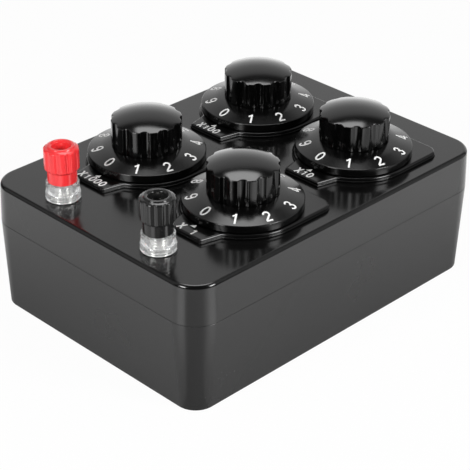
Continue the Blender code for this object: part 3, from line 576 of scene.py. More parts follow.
# %% Base shell
def make_base_shell():
    rings = []
    for step in range(EDGE_STEPS + 1):
        turn = math.pi / 2 * step / EDGE_STEPS
        height = FOOT_ROUND * (1 - math.sin(turn))
        rings.insert(0, base_wall_ring(height, FOOT_ROUND * (1 - math.cos(turn))))
    rings += [base_wall_ring(BASE_RIM / 2), base_wall_ring(BASE_RIM - RIM_ROUND), base_wall_ring(BASE_RIM, RIM_ROUND)]
    tongue_top = BASE_RIM + TONGUE_HEIGHT
    steps = [(TONGUE_INSET, BASE_RIM), (TONGUE_INSET, tongue_top), (WALL, tongue_top), (WALL, BASE_RIM)]
    rings += [inset_ring(inset, height) for inset, height in steps]
    rings.append(base_wall_ring(WALL, WALL))
    cuts = [
        (rods(BOSS_PLACES, BOSS_RADIUS, WALL / 2, BASE_RIM, 32), "UNION"),
        (rods(BOSS_PLACES, HEAD_HOLE, -OVERCUT, HEAD_SEAT, 32), "DIFFERENCE"),
        (rods(BOSS_PLACES, SCREW_HOLE, -OVERCUT, BASE_RIM + OVERCUT, 24), "DIFFERENCE"),
    ]
    return smooth(carved(skinned("base_shell", rings), cuts))


base = add_piece("base_tray", make_base_shell(), CASE_SATIN, "case", ["base_shell"])
print("base faces", len(base.data.polygons))

# %% Top cover
DIALS = {
    "x1000": (-26.3 * MM, -23.85 * MM),
    "x100": (-26.3 * MM, 37.45 * MM),
    "x10": (26.3 * MM, 37.45 * MM),
    "x1": (26.3 * MM, -23.85 * MM),
}
POSTS = {"red": (-26.3 * MM, -66.25 * MM), "black": (26.3 * MM, -66.25 * MM)}


def make_top_cover():
    rings = []
    for step in range(EDGE_STEPS + 1):
        turn = math.pi / 2 * step / EDGE_STEPS
        inset = COVER_LEAN + TOP_ROUND * (1 - math.sin(turn))
        rings.append(inset_ring(inset, TOP - TOP_ROUND * (1 - math.cos(turn))))
    rebate = TONGUE_INSET - FIT
    rebate_top = BASE_RIM + TONGUE_HEIGHT + FIT
    steps = [
        (0, COVER_RIM + RIM_ROUND), (RIM_ROUND, COVER_RIM), (rebate, COVER_RIM), (rebate, rebate_top),
        (WALL, rebate_top), (WALL + COVER_LEAN, CEILING),
    ]
    rings += [inset_ring(inset, height) for inset, height in steps]
    cuts = [
        (rods(BOSS_PLACES, BOSS_RADIUS, COVER_RIM, CEILING + WALL / 2, 32), "UNION"),
        (rods(BOSS_PLACES, SCREW_HOLE, COVER_RIM - OVERCUT, SCREW_HOLE_END, 24), "DIFFERENCE"),
        (rods(DIALS.values(), BUSHING_HOLE, CEILING - OVERCUT, TOP + OVERCUT, 40), "DIFFERENCE"),
        (rods(POSTS.values(), POST_HOLE, CEILING - OVERCUT, TOP + OVERCUT, 40), "DIFFERENCE"),
    ]
    return smooth(carved(skinned("top_cover", rings), cuts))


cover = add_piece("cover_lid", make_top_cover(), COVER_GLOSS, "case", ["top_cover"])
print("cover faces", len(cover.data.polygons))

# %% [markdown]
# ## Dial plates
# Under each dial lies a fixed plate with a square back, a round front and a tab for the label.
# Its outline is drawn flat, filled round the bushing hole and pulled up to its thickness, once
# for a low foot and once, a little smaller, for the full height. A bevel along the upper edge of
# each gives the two thin lines of light that run round a plate, and a Boolean joins them.

# %% Plates
PLATE_BOTTOM = 53.8 * MM
PLATE_TOP = 55.4 * MM
PLATE_HALF = 24.0 * MM
PLATE_BACK = 24.8 * MM
PLATE_CORNER = 5.5 * MM
TAB_END = 30.2 * MM
TAB_HALF = 8.8 * MM
TAB_ROOT_HALF = 10.8 * MM
TAB_CORNER = 0.6 * MM
PLATE_EDGE = 0.8 * MM
FOOT_HEIGHT = 0.40 * MM
FOOT_STEP = 0.24 * MM
FOOT_EDGE = 0.2 * MM
PLATE_HOLE = BUSHING_HOLE
EDGE_SEGMENTS = 6


def arc(radius, first, last, steps, middle=(0.0, 0.0)):
    angles = [first + (last - first) * step / steps for step in range(steps + 1)]
    return [(middle[0] + radius * math.cos(a), middle[1] + radius * math.sin(a)) for a in angles]


def plate_outline(inset):
    front = PLATE_HALF - inset
    root = math.atan2(TAB_ROOT_HALF - inset, math.sqrt(front**2 - (TAB_ROOT_HALF - inset) ** 2))
    tab = arc(TAB_CORNER, -math.pi / 2, -0.18, 4, (TAB_HALF - inset - TAB_CORNER, TAB_CORNER + inset - TAB_END))
    right = tab + arc(front, root - math.pi / 2, 0, 40)
    corner = (PLATE_HALF - PLATE_CORNER, PLATE_BACK - PLATE_CORNER)
    right += arc(PLATE_CORNER - inset, 0, math.pi / 2, 14, corner)
    return right + [(-x, y) for x, y in reversed(right)]


def slab_mesh(inset, bottom, top, edge_size):
    """Flat body of the plate's outline, with the bushing hole and a rounded upper edge."""
    shape = bmesh.new()
    loops = []
    for points in (plate_outline(inset), arc(PLATE_HOLE, 0, 2 * math.pi, 40)[:-1]):
        verts = [shape.verts.new((x, y, bottom)) for x, y in points]
        loops += [shape.edges.new((a, b)) for a, b in zip(verts, verts[1:] + verts[:1])]
    filled = bmesh.ops.triangle_fill(shape, use_beauty=True, edges=loops)
    floor_faces = [item for item in filled["geom"] if isinstance(item, bmesh.types.BMFace)]
    raised = bmesh.ops.extrude_face_region(shape, geom=floor_faces, use_keep_orig=True)
    lifted = [item for item in raised["geom"] if isinstance(item, bmesh.types.BMVert)]
    bmesh.ops.translate(shape, verts=lifted, vec=(0, 0, top - bottom))
    bmesh.ops.recalc_face_normals(shape, faces=shape.faces)
    top_edges = [
        edge for edge in shape.edges
        if all(v.co.z > (bottom + top) / 2 and v.co.xy.length > 2 * PLATE_HOLE for v in edge.verts)
        and abs(edge.calc_face_angle(0)) > 1
    ]
    bmesh.ops.bevel(
        shape, geom=top_edges, offset=edge_size, segments=EDGE_SEGMENTS, profile=0.5,
        affect="EDGES", clamp_overlap=False,
    )
    return settled(shape, "dial_plate")


foot_mesh = slab_mesh(0, PLATE_BOTTOM, PLATE_BOTTOM + FOOT_HEIGHT, FOOT_EDGE)
upper_mesh = slab_mesh(FOOT_STEP, PLATE_BOTTOM + FOOT_HEIGHT / 2, PLATE_TOP, PLATE_EDGE)
plate_mesh = smooth(carved(foot_mesh, [(upper_mesh, "UNION")]))
for dial, place in DIALS.items():
    add_piece(f"{dial}_label_plate", plate_mesh, DIAL_GLOSS, "case", [f"{dial}_plate"], place)
print("plate faces", len(plate_mesh.polygons))

# %% [markdown]
# ## Numbered discs
# The disc turns under the knob and carries the digits on a shallow cone. It is a lathe shape, so
# its profile is a list of radii and heights. The rounded rim is a short arc of points, because a
# hard corner wouldn't catch any light.

# %% Discs
DISC_RADIUS = 23.0 * MM
DISC_BOTTOM = 55.7 * MM
DISC_RIM = 58.75 * MM
DISC_LAND = 61.15 * MM
LAND_RADIUS = 14.2 * MM
HUB_RADIUS = 6.0 * MM
POCKET_RADIUS = 8.68 * MM
POCKET_TOP = 59.2 * MM
DISC_EDGE = 0.4 * MM
DISC_FOOT_EDGE = 0.2 * MM
CONE_MIDDLE = 18.0 * MM
CONE_SLOPE = (DISC_LAND - DISC_RIM) / (DISC_RADIUS - DISC_EDGE - LAND_RADIUS)


def cone_height(radius):
    """Height of the disc's upper face at a radius."""
    return DISC_LAND - CONE_SLOPE * (radius - LAND_RADIUS)


def rounded_edge(radius, height, size, first, last, steps):
    """Points of a rounded edge about (radius, height), from one tilt of its normal to another."""
    turns = [first + (last - first) * step / steps for step in range(steps + 1)]
    return [(radius + size * math.sin(turn), height + size * math.cos(turn)) for turn in turns]


def make_disc():
    tilt = math.atan(CONE_SLOPE)
    middle_radius = DISC_RADIUS - DISC_EDGE
    middle_height = cone_height(middle_radius + DISC_EDGE * math.sin(tilt)) - DISC_EDGE * math.cos(tilt)
    profile = [(HUB_RADIUS, DISC_LAND), (LAND_RADIUS, DISC_LAND), (CONE_MIDDLE, cone_height(CONE_MIDDLE))]
    profile += rounded_edge(middle_radius, middle_height, DISC_EDGE, tilt, math.pi / 2, 6)
    profile += [
        (DISC_RADIUS, DISC_BOTTOM + DISC_FOOT_EDGE),
        (DISC_RADIUS - DISC_FOOT_EDGE, DISC_BOTTOM),
        (POCKET_RADIUS, DISC_BOTTOM),
        (POCKET_RADIUS, POCKET_TOP),
        (HUB_RADIUS, POCKET_TOP),
    ]
    return smooth(turned("numbered_disc", profile, 160, looped=True))


disc_mesh = make_disc()
for dial, place in DIALS.items():
    nodes = [f"{dial}_disc"]
    add_piece(f"{dial}_numbered_disc", disc_mesh, DIAL_GLOSS, f"{dial}_dial", nodes, place)
print("disc faces", len(disc_mesh.polygons))

# %% [markdown]
# ## Fluted knobs
# Each knob has a wall with twelve shallow flutes and a low dome, and the dome's rim follows the
# flutes. Cutting flutes with Booleans leaves hard edges, so the wall's outline is worked out
# instead: at each angle its radius is the smaller of the round wall and the flute's arc, with a
# soft minimum that rounds the ridge between them. Every ring of the knob follows this outline.

# %% Knobs
KNOB_RADIUS = 13.8 * MM
KNOB_BOTTOM = 61.3 * MM
KNOB_TOP = 74.8 * MM
DOME_HEIGHT = 2.9 * MM
FLUTES = 12
FLUTE_DEPTH = 0.9 * MM
FLUTE_RADIUS = 3.0 * MM
RIDGE_SOFTNESS = 0.05 * MM
KNOB_EDGE = 0.35 * MM
KNOB_STEPS = 264
KNOB_FOOT_EDGE = 0.25 * MM
DOME_SHARES = (0.06, 0.15, 0.26, 0.37, 0.48, 0.58, 0.67, 0.75, 0.82, 0.88, 0.93, 0.97)
RIM_STEPS = 5
WALL_HEIGHTS = (69.0 * MM, 65.0 * MM, KNOB_BOTTOM + KNOB_FOOT_EDGE)
HUB_BOSS_RADIUS = 5.7 * MM
HUB_BOSS_BOTTOM = 59.0 * MM
BORE_RADIUS = 3.3 * MM
BORE_FLAT = 2.5 * MM
BORE_TOP = 68.8 * MM
SPHERE = (KNOB_RADIUS**2 + DOME_HEIGHT**2) / (2 * DOME_HEIGHT)


def soft_min(first, second, softness):
    low = min(first, second)
    spread = abs(first - second) / softness
    return low - softness * math.log(1 + math.exp(-spread))


def fluted(radius, angle, count, depth_radius, groove, softness):
    """Radius at an angle of a wall with grooves cut in by rods, whose floor is at depth_radius."""
    pitch = 2 * math.pi / count
    off = (angle % pitch) - pitch / 2
    reach = depth_radius + groove
    side = reach * math.sin(off)
    if abs(side) >= groove:
        return radius
    return soft_min(radius, reach * math.cos(off) - math.sqrt(groove**2 - side**2), softness)


def dome_height(radius):
    return KNOB_TOP - SPHERE + math.sqrt(SPHERE**2 - radius**2)


def make_knob():
    angles = whole_turn(KNOB_STEPS)
    wall = [fluted(KNOB_RADIUS, a, FLUTES, KNOB_RADIUS - FLUTE_DEPTH, FLUTE_RADIUS, RIDGE_SOFTNESS) for a in angles]
    rings = [[(0.0, 0.0, KNOB_TOP)]]
    for share in DOME_SHARES:
        reaches = [share * (r - KNOB_EDGE) for r in wall]
        rings.append(reach_ring(reaches, [dome_height(r) for r in reaches]))
    tilt = math.asin(KNOB_RADIUS / SPHERE)
    for step in range(RIM_STEPS + 1):
        turn = tilt + (math.pi / 2 - tilt) * step / RIM_STEPS
        reaches = [r - KNOB_EDGE + KNOB_EDGE * math.sin(turn) for r in wall]
        drop = KNOB_EDGE * (math.cos(tilt) - math.cos(turn))
        heights = [dome_height(r - KNOB_EDGE + KNOB_EDGE * math.sin(tilt)) - drop for r in wall]
        rings.append(reach_ring(reaches, heights))
    rings += [reach_ring(wall, height) for height in WALL_HEIGHTS]
    rings.append(reach_ring([r - KNOB_FOOT_EDGE for r in wall], KNOB_BOTTOM))
    boss = [HUB_BOSS_RADIUS] * KNOB_STEPS
    bore = [min(BORE_RADIUS, BORE_FLAT / max(-math.sin(a), 0.01)) for a in angles]
    hollow = [(boss, KNOB_BOTTOM), (boss, HUB_BOSS_BOTTOM), (bore, HUB_BOSS_BOTTOM), (bore, BORE_TOP)]
    rings += [reach_ring(reaches, height) for reaches, height in hollow]
    rings.append([(0.0, 0.0, BORE_TOP)])
    return smooth(skinned("fluted_knob", rings))


knob_mesh = make_knob()
for dial, place in DIALS.items():
    add_piece(f"{dial}_fluted_knob", knob_mesh, KNOB_GLOSS, f"{dial}_dial", [f"{dial}_knob"], place)
print("knob faces", len(knob_mesh.polygons))

# %% [markdown]
# ## Digits and labels
# The white digits and the multiplier on each tab are cut shallowly and filled with paint. A text
# object is the quick way to letter a dial, but these figures have the even stroke of an engraver's
# cutter. So each one is a few strokes: the path of the cutter's centre, widened to both sides,
# given a little thickness, and joined with the other strokes by Booleans.

# %% Strokes
DIGIT_STROKE = 0.142
LABEL_STROKE = 0.175


def bow(x, y, reach_x, reach_y, first, last, steps=14):
    """Points of an elliptic arc, with angles in degrees."""
    angles = [math.radians(first + (last - first) * step / steps) for step in range(steps + 1)]
    return [(x + reach_x * math.cos(a), y + reach_y * math.sin(a)) for a in angles]


def oval(x, y, reach_x, reach_y):
    """Closed stroke round an ellipse."""
    return "loop", bow(x, y, reach_x, reach_y, 0, 345, 23)


def path(*points):
    """Open stroke through points."""
    return "path", list(points)


FIGURES = {
    "0": [oval(0.31, 0.50, 0.232, 0.422)],
    "1": [path((0.12, 0.73), (0.25, 0.785), (0.35, 0.89)), path((0.37, 0.97), (0.37, 0.0))],
    "2": [path(*bow(0.31, 0.695, 0.228, 0.228, 172, -38), (0.10, 0.12)), path((0.06, 0.078), (0.57, 0.078))],
    "3": [path(*bow(0.29, 0.715, 0.205, 0.208, 160, -96)), path(*bow(0.29, 0.295, 0.232, 0.218, 98, -162))],
    "4": [path((0.44, 0.0), (0.44, 0.97)), path((0.42, 0.90), (0.07, 0.28)), path((0.03, 0.27), (0.60, 0.27))],
    "5": [path((0.54, 0.92), (0.15, 0.92)), path((0.175, 0.95), (0.125, 0.50)),
          path((0.11, 0.50), *bow(0.30, 0.315, 0.228, 0.238, 128, -158))],
    "6": [oval(0.31, 0.30, 0.228, 0.225), path(*bow(0.325, 0.50, 0.238, 0.425, 212, 38))],
    "7": [path((0.05, 0.92), (0.57, 0.92)), path((0.53, 0.92), (0.36, 0.60), (0.25, 0.28), (0.21, 0.0))],
    "8": [oval(0.31, 0.71, 0.195, 0.212), oval(0.31, 0.285, 0.228, 0.210)],
    "9": [oval(0.31, 0.70, 0.228, 0.225), path(*bow(0.295, 0.50, 0.238, 0.425, 32, -142))],
    "X": [path((0.06, 0.0), (0.60, 1.0)), path((0.60, 0.0), (0.06, 1.0))],
}


def stroke_mesh(kind, points, stroke, low, high):
    """A cutter's path widened to the stroke and given thickness."""
    looped = kind == "loop"
    count = len(points)
    left, right = [], []
    for index, (x, y) in enumerate(points):
        before = points[index - 1] if index or looped else points[index]
        after = points[(index + 1) % count] if looped else points[min(index + 1, count - 1)]
        along = Vector((after[0] - before[0], after[1] - before[1])).normalized() * stroke / 2
        left.append((x - along.y, y + along.x))
        right.append((x + along.y, y - along.x))
    shape = bmesh.new()
    layers = []
    for side, height in ((left, low), (left, high), (right, high), (right, low)):
        layers.append([shape.verts.new((x, y, height)) for x, y in side])
    spans = count if looped else count - 1
    for near, far in zip(layers, layers[1:] + layers[:1]):
        for index in range(spans):
            after = (index + 1) % count
            shape.faces.new((near[index], near[after], far[after], far[index]))
    if not looped:
        shape.faces.new([layer[0] for layer in layers])
        shape.faces.new([layer[-1] for layer in layers])
    bmesh.ops.recalc_face_normals(shape, faces=shape.faces)
    return settled(shape, "stroke")


INK_SHARE = 0.01


def figure_mesh(letter, stroke):
    """One figure, a unit high, as a single thin body."""
    first, *others = [stroke_mesh(*line, stroke, -INK_SHARE, INK_SHARE) for line in FIGURES[letter]]
    return carved(first, [(other, "UNION") for other in others])


digit_figures = {letter: figure_mesh(letter, DIGIT_STROKE) for letter in "0123456789"}
label_figures = {letter: figure_mesh(letter, LABEL_STROKE) for letter in "01X"}
print("figures", {letter: len(mesh.vertices) for letter, mesh in digit_figures.items()})

# %% Digits on the discs
DIGIT_HEIGHT = 4.95 * MM
DIGIT_WIDTH = 0.62
DIGIT_CIRCLE = 19.27 * MM
PRINT_PROUD = 0.03 * MM
DIAL_STEP = 36
FIRST_DIGIT = -90


def add_figure(shape, figure, spot):
    """Copy a figure into a mesh, each point sent to its place by a function."""
    source = bmesh.new()
    source.from_mesh(figure)
    bmesh.ops.triangulate(source, faces=source.faces)
    copies = {vert: shape.verts.new(spot(vert.co)) for vert in source.verts}
    for face in source.faces:
        shape.faces.new([copies[vert] for vert in face.verts])
    source.free()


def make_digits():
    shape = bmesh.new()
    for number in range(10):
        angle = math.radians(DIAL_STEP * number + FIRST_DIGIT)
        outward = Vector((math.cos(angle), math.sin(angle)))
        across = Vector((-math.sin(angle), math.cos(angle)))

        def spot(point):
            side = (point.x - DIGIT_WIDTH / 2) * DIGIT_HEIGHT
            reach = DIGIT_CIRCLE - (point.y - 0.5) * DIGIT_HEIGHT
            flat = outward * reach + across * side
            lift = PRINT_PROUD if point.z > 0 else -PRINT_PROUD
            return (flat.x, flat.y, cone_height(flat.length) + lift)

        add_figure(shape, digit_figures[str(number)], spot)
    bmesh.ops.recalc_face_normals(shape, faces=shape.faces)
    return smooth(settled(shape, "dial_digits"))


digits_mesh = make_digits()
for dial, place in DIALS.items():
    add_piece(f"{dial}_digits", digits_mesh, PRINT_WHITE, f"{dial}_dial", (), place)
print("digit faces", len(digits_mesh.polygons))

# %% Labels on the tabs
LABEL_HEIGHT = 3.8 * MM
LABEL_FOOT = -29.4 * MM
ONE_SHARE = 0.87
LABELS = {
    "x1": [("X", -4.9), ("1", 1.7)],
    "x10": [("X", -4.5), ("1", -1.4), ("0", 1.3)],
    "x100": [("X", -6.0), ("1", -2.9), ("0", -0.2), ("0", 2.6)],
    "x1000": [("X", -7.5), ("1", -4.3), ("0", -1.5), ("0", 1.3), ("0", 4.1)],
}
MARK = [(-1.6, -25.4), (0.75, -25.4), (-0.1, -23.4)]


def make_label(dial):
    shape = bmesh.new()
    low, high = PLATE_TOP - PRINT_PROUD, PLATE_TOP + PRINT_PROUD
    for letter, left in LABELS[dial]:
        size = LABEL_HEIGHT * (ONE_SHARE if letter == "1" else 1.0)

        def spot(point):
            return (left * MM + point.x * size, LABEL_FOOT + point.y * size, high if point.z > 0 else low)

        add_figure(shape, label_figures[letter], spot)
    corners = [[shape.verts.new((x * MM, y * MM, z)) for x, y in MARK] for z in (low, high)]
    shape.faces.new(corners[0])
    shape.faces.new(corners[1])
    band(shape, corners[1], corners[0])
    bmesh.ops.recalc_face_normals(shape, faces=shape.faces)
    return smooth(settled(shape, f"{dial}_label"))


for dial, place in DIALS.items():
    add_piece(f"{dial}_label", make_label(dial), PRINT_WHITE, "case", (), place)
print("labels", sorted(LABELS))

# %% [markdown]
# ## Binding posts
# A post is a stack of turned pieces. A clear collar stands on the cover round a threaded stud,
# and a plastic cap screws down on it. The cap has a plain skirt, a grip with ten lobes and a
# raised ring round the socket. The lobes use the same rule as the knob's flutes, but only where
# the cap is wide enough to reach them.

# %% Caps
CAP_LOBES = 10
CAP_VALLEY = 6.2 * MM
CAP_GROOVE = 1.6 * MM
CAP_STEPS = 160
PLAIN_BELOW = 5.65
CAP_PROFILE = [
    (5.0, 60.8), (5.45, 60.8), (5.6, 60.95), (5.6, 65.35), (5.68, 65.6), (6.1, 65.95), (6.5, 66.25), (6.7, 66.6),
    (6.7, 70.0), (6.7, 73.85), (6.62, 74.15), (6.4, 74.4), (5.9, 74.65), (5.5, 74.78), (5.25, 74.83), (5.13, 74.95),
    (5.1, 75.1), (5.04, 75.26), (4.88, 75.37), (4.7, 75.4), (4.2, 75.4), (4.02, 75.35), (3.85, 75.22), (3.45, 74.86),
    (3.3, 74.6), (3.3, 61.9), (4.9, 61.9), (4.9, 60.85),
]


def make_cap():
    rings = []
    for radius, height in CAP_PROFILE:
        reaches = [radius * MM] * CAP_STEPS
        if radius >= PLAIN_BELOW:
            reaches = [
                fluted(radius * MM, a, CAP_LOBES, CAP_VALLEY, CAP_GROOVE, RIDGE_SOFTNESS)
                for a in whole_turn(CAP_STEPS)
            ]
        rings.append(reach_ring(reaches, height * MM))
    return smooth(skinned("post_cap", rings, looped=True))


cap_mesh = make_cap()
for post, finish in (("red", CAP_RED), ("black", CAP_BLACK)):
    mesh = cap_mesh.copy()
    add_piece(f"{post}_screw_cap", mesh, finish, f"{post}_cap_body", [f"{post}_cap"], POSTS[post])
print("cap faces", len(cap_mesh.polygons))

# %% Collars
COLLAR_PROFILE = [
    (3.3, 60.4), (3.4, 60.5), (6.1, 60.5), (6.25, 60.43), (6.31, 60.28), (6.38, 56.9), (6.44, 56.6), (6.6, 56.45),
    (6.68, 56.3), (6.7, 56.1), (6.7, 54.05), (6.62, 53.87), (6.45, 53.8), (4.95, 53.8), (4.9, 53.85), (4.9, 55.9),
    (3.3, 55.9),
]


def make_collar():
    profile = [(radius * MM, height * MM) for radius, height in COLLAR_PROFILE]
    return smooth(turned("clear_collar", profile, 96, looped=True))


collar_mesh = make_collar()
for post, place in POSTS.items():
    add_piece(f"{post}_clear_collar", collar_mesh, CLEAR, "case", [f"{post}_collar"], place)
print("collar faces", len(collar_mesh.polygons))

# %% [markdown]
# The stud is a bolt with a fine thread and a socket down its axis for a plug. Its thread is a
# real helix: each ring's radius falls and rises with the height and the angle together, so the
# groove climbs one pitch in each turn. It fades out before the plain ends.

# %% Studs
STUD_RADIUS = 3.0 * MM
THREAD_PITCH = 1.0 * MM
THREAD_DEPTH = 0.45 * MM
THREAD_LOW = 56.0 * MM
THREAD_HIGH = 71.2 * MM
THREAD_FLANK = 2.4
STUD_STEPS = 48
RINGS_PER_TURN = 8
STUD_HEAD = [(0, 58.5), (2.0, 58.5), (2.0, 71.3), (2.2, 71.5), (2.8, 71.5), (3.0, 71.3)]
STUD_FOOT = [
    (3.0, 55.6), (4.4, 55.6), (4.6, 55.4), (4.6, 53.8), (3.0, 53.8), (3.0, 43.9), (2.6, 43.5), (0, 43.5),
]


def thread_radius(angle, height):
    """Radius of the threaded stud at an angle and a height."""
    fade = min((height - THREAD_LOW) / THREAD_PITCH, (THREAD_HIGH - height) / THREAD_PITCH, 1.0)
    if fade <= 0:
        return STUD_RADIUS
    phase = (height / THREAD_PITCH - angle / (2 * math.pi)) % 1.0
    return STUD_RADIUS - THREAD_DEPTH * fade * min(1.0, THREAD_FLANK * abs(phase - 0.5))


def make_stud():
    rings = [circle_ring(radius * MM, height * MM, STUD_STEPS) for radius, height in STUD_HEAD]
    height = THREAD_HIGH
    while height > THREAD_LOW:
        rings.append(reach_ring([thread_radius(a, height) for a in whole_turn(STUD_STEPS)], height))
        height -= THREAD_PITCH / RINGS_PER_TURN
    rings += [circle_ring(radius * MM, height * MM, STUD_STEPS) for radius, height in STUD_FOOT]
    return smooth(skinned("threaded_stud", rings))


stud_mesh = make_stud()
for post, place in POSTS.items():
    add_piece(f"{post}_threaded_stud", stud_mesh, NICKEL, "case", [f"{post}_stud"], place)
print("stud faces", len(stud_mesh.polygons))

# %% [markdown]
# ## Pieces that keep their imported shape
# The switches, nuts, washers, screws and wires inside the box are already right in shape. They
# keep their meshes and only get these finishes, set in their material slots.

# %% Inner pieces
INNER_FINISHES = {
    "_shaft": STEEL,
    "_bushing_nut": STEEL,
    "_switch_housing": ZINC,
    "_contact_deck": LAMINATE,
    "_wiper": BRASS,
    "_resistor_chain": RESISTOR_TAN,
    "_clamp_washer": NICKEL,
    "_post_nut": NICKEL,
    "_solder_lug": NICKEL,
}
dressed = []
for name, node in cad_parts.items():
    if node.hide_render:
        continue
    finish = next((f for ending, f in INNER_FINISHES.items() if name.endswith(ending)), None)
    if finish is None:
        finish = WIRE_GREEN if name.startswith("wire_") else STEEL
    for slot in node.material_slots:
        slot.material = finish
    dressed.append(name)
print("dressed", len(dressed), "packed pieces")

# %% [markdown]
# ## Table top
# The box stands on a white sweep that fills the view. The floor is a shallow dish of rings, flat
# in the middle. It takes the box's shadow, and where a camera or clear plastic sees it, nearly
# all of its brightness is its own, so that it reads as the white of the backdrop. A mirror sees
# a floor with painted light and shade: a painted shadow in a wedge before the near corner, painted
# shade next to the case, a painted glare under each side lamp and painted brightness graded with distance.

# %% Floor
# Levels of the painted light and shade that a mirror sees on the floor: a shadow wedge, two glares and shade by the
# case.
MIRRORED_LEVEL = 0.83
SHADOW_WEDGE_LEVEL = 0.24
GLARE_RISE = 0.84
NEAR_CORNER = (CASE_HALF_X - CORNER, CORNER - CASE_HALF_Y, 0.0)
GLARES = (math.radians(-1), math.radians(102))
BACKDROP_AZIMUTH = math.radians(230)
SHADOW_WEDGE_EDGE = (0.80, 0.90)
GLARE_EDGE = (0.965, 0.985)
GLARE_START = (0.03, 0.07)
CASE_SHADE = (0.0, 0.06)
FRONT_RISE = (0.09, 0.20)
FRONT_FADE = (0.12, 0.24)
BEHIND_EDGE = (0.75, 0.90)
BEHIND_RISE = (0.1, 0.4)


def vector_maths(operation, *ends):
    """Result of a vector operation: a number from a length or dot product, a vector from others."""
    node = follow("VectorMath", ends, operation=operation)
    return node.outputs["Value" if operation in ("DOT_PRODUCT", "LENGTH") else "Vector"]


def towards(vector, azimuth):
    """One where a level vector points to an azimuth, and minus one where it points away."""
    return vector_maths("DOT_PRODUCT", vector, direction(azimuth, 0))


def mirrored_floor(place):
    """Brightness of the floor for a mirror, with a painted shadow wedge, painted shade by the case and painted
    glares.
    """
    offset = vector_maths("SUBTRACT", place, NEAR_CORNER)
    reach = vector_maths("LENGTH", offset)
    heading = vector_maths("NORMALIZE", offset)
    # Painted shadow: a dark wedge from the near corner towards the camera.
    level = mapped(towards(heading, CAMERA_AZIMUTH), *SHADOW_WEDGE_EDGE, MIRRORED_LEVEL, SHADOW_WEDGE_LEVEL)
    # Painted glares: a pool of light under each side lamp, starting a little way out from the corner.
    for azimuth in GLARES:
        glare = mapped(towards(heading, azimuth), *GLARE_EDGE, 0.0, GLARE_RISE)
        level = maths("ADD", level, times(glare, mapped(reach, *GLARE_START)))
    spot = axes(place)
    beyond = [
        maths("SUBTRACT", maths("ABSOLUTE", spot[axis], 0.0), half)
        for axis, half in (("X", CASE_HALF_X), ("Y", CASE_HALF_Y))
    ]
    apart = maths("MAXIMUM", *beyond)
    # Painted shade: darker close to the case.
    near = mapped(apart, *CASE_SHADE, 0.50, 1.0)
    # Painted brightness graded with distance: brighter in front, fading far off, brightest far behind.
    front = times(mapped(reach, *FRONT_RISE, 1.0, 1.30), mapped(apart, *FRONT_FADE, 1.0, 0.25))
    behind = mapped(towards(heading, BACKDROP_AZIMUTH), *BEHIND_EDGE)
    sides = mapped(behind, 0.0, 1.0, front, mapped(apart, *BEHIND_RISE, 1.3, 2.2))
    return times(level, times(near, sides))


FLOOR_RADII = (0.0, 0.3, 1.0, 3.0, 8.0)
FLOOR_TOP = -0.05 * MM
FLOOR_BOTTOM = -10 * MM
OWN_BRIGHTNESS = 0.965


def make_floor():
    rim = (FLOOR_RADII[-1], FLOOR_BOTTOM)
    mesh = turned("floor", [(radius, FLOOR_TOP) for radius in FLOOR_RADII] + [rim], 96)
    made = placed("floor", mesh)
    finish, tree, shader = new_finish("floor_white")
    shader.inputs["Roughness"].default_value = 0.8
    shader.inputs["Specular IOR Level"].default_value = 0.1
    place = on_object(tree)
    paper = mapped(noise(place, 6.0, 3.0), 0.3, 0.7)
    wire(blended(paper, (0.80, 0.80, 0.80, 1.0), (0.82, 0.82, 0.82, 1.0)), shader.inputs["Base Color"])
    glow = tree.nodes.new("ShaderNodeEmission")
    rays = tree.nodes.new("ShaderNodeLightPath").outputs
    # Glossy rays see the floor's painted light and shade, other rays a strength of one.
    mirrored = times(rays["Is Glossy Ray"], mirrored_floor(place))
    plain = maths("SUBTRACT", 1.0, rays["Is Glossy Ray"])
    wire(maths("ADD", mirrored, plain), glow.inputs["Strength"])
    share = maths("MAXIMUM", times(rays["Is Camera Ray"], OWN_BRIGHTNESS),
                  maths("MAXIMUM", rays["Is Glossy Ray"], rays["Is Transmission Ray"]))
    mix = follow("MixShader", (share, shader.outputs["BSDF"], glow.outputs["Emission"]))
    wire(mix.outputs["Shader"], tree.nodes["Material Output"].inputs["Surface"])
    mesh.materials.append(finish)
    return made


print("floor", make_floor().name)

# %% [markdown]
# ## Studio light
# Black gloss shows the studio more than it shows itself. The backdrop is bright behind the box
# and fades to the sides and with height, which grades the cover from side to side, and two dark
# gaps on the left break it up. Only a mirror sees these tones. A camera and clear plastic see
# plain white, and everything else gets an even, weak fill.

# %% World
FILL = 0.23
SKY = 1.95
GAP_LEVEL = 0.06
GAPS = (
    (math.radians(-85), (0.86, 0.95), (0.56, 0.66)),
    (math.radians(-55), (0.48, 0.70), (0.10, 0.26)),
)
SIDE_STOPS = (
    (0.37, 0.01), (0.45, 0.52), (0.68, 0.55), (0.73, 0.10), (0.78, 0.12), (0.80, 0.32), (0.83, 0.76), (0.87, 0.92),
    (0.97, 1.0),
)
HEIGHT_STOPS = (
    (0.0, 0.88), (0.10, 0.79), (0.17, 0.69), (0.29, 0.59), (0.40, 0.50), (0.50, 0.45), (0.80, 0.45), (1.0, 0.35),
)


def ramp(value, stops):
    """Grey that follows a value through chosen stops."""
    node = follow("ValToRGB", (value,))
    elements = node.color_ramp.elements
    while len(elements) < len(stops):
        elements.new(1.0)
    for element, (position, level) in zip(elements, stops):
        element.position = position
        element.color = (level, level, level, 1.0)
    return node.outputs["Color"]


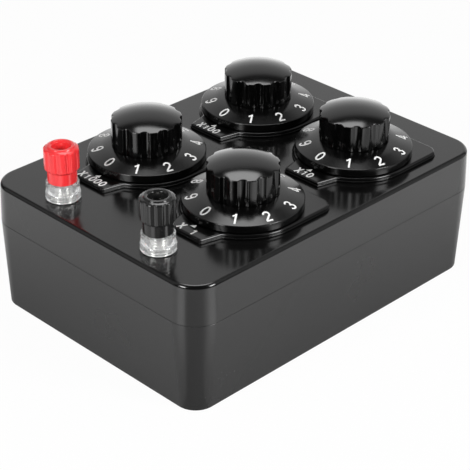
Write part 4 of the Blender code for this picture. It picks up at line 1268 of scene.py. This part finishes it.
def make_world():
    world = bpy.data.worlds.new("studio")
    scene.world = world
    world.use_nodes = True
    tree = world.node_tree
    tree.nodes.clear()
    look = tree.nodes.new("ShaderNodeTexCoord").outputs["Generated"]
    height = axes(look)["Z"]
    sideways = ramp(mapped(towards(look, BACKDROP_AZIMUTH), -1.0, 1.0), SIDE_STOPS)
    upwards = times(ramp(height, HEIGHT_STOPS), SKY)
    for azimuth, side, top in GAPS:
        beside = mapped(towards(look, azimuth), *side)
        gap = times(beside, mapped(height, *top, 1.0, 0.0))
        upwards = times(upwards, mapped(gap, 0.0, 1.0, 1.0, GAP_LEVEL))
    studio = blended(1.0, sideways, upwards, "MULTIPLY")
    rays = tree.nodes.new("ShaderNodeLightPath").outputs
    white = maths("MAXIMUM", rays["Is Camera Ray"], rays["Is Transmission Ray"])
    backdrop = blended(white, studio, (1.0, 1.0, 1.0, 1.0))
    seen = maths("MAXIMUM", white, rays["Is Glossy Ray"])
    tone = blended(seen, (FILL, FILL, FILL, 1.0), backdrop)
    light = follow("Background", (tone,))
    wire(light.outputs["Background"], tree.nodes.new("ShaderNodeOutputWorld").inputs["Surface"])


make_world()
print("world fill", FILL)

# %% [markdown]
# The overhead lamp gives the domes their patch of light and is seen in gloss only. The other two
# stand to the left and right of the camera and light a wall each. A bare rectangle of light has
# a hard edge, which shows on a glossy dome, so each lamp fades at its rim as a softbox does. Its
# parametric coordinate runs from zero to one across it, and smooth steps turn that into a fade.

# %% Lamps
LAMP_TARGET = Vector((0.0, 0.0, 0.05))


def faded(coordinate, fade):
    """One in the middle of the lamp, falling to nothing at both ends."""
    off = maths("ABSOLUTE", maths("SUBTRACT", coordinate, 0.5), 0.0)
    return mapped(off, 0.5 - fade, 0.5, 1.0, 0.0, "SMOOTHSTEP")


def add_lamp(name, place, width, height, radiance, fades):
    """Rectangular lamp that faces the box, with the brightness that a mirror would show."""
    light = bpy.data.lights.new(name, "AREA")
    light.shape = "RECTANGLE"
    light.size = width
    light.size_y = height
    light.energy = radiance * math.pi * width * height
    light.use_nodes = True
    tree = light.node_tree
    spread = axes(tree.nodes.new("ShaderNodeNewGeometry").outputs["Parametric"])
    strength = times(faded(spread["X"], fades[0]), faded(spread["Y"], fades[1]))
    wire(strength, tree.nodes["Emission"].inputs["Strength"])
    made = placed(name, light)
    made.location = place
    made.rotation_euler = (Vector(place) - LAMP_TARGET).to_track_quat("Z", "Y").to_euler()
    made.visible_camera = False
    return made


overhead = add_lamp("overhead_lamp", (-0.071, 0.071, 0.495), 0.31, 0.24, 5.5, (0.14, 0.14))
overhead.visible_diffuse = False
add_lamp("left_lamp", (0.05, -0.725, 0.43), 0.26, 0.32, 22.0, (0.12, 0.20))
add_lamp("right_lamp", (0.62, 0.15, 0.41), 0.25, 0.30, 24.0, (0.12, 0.20))
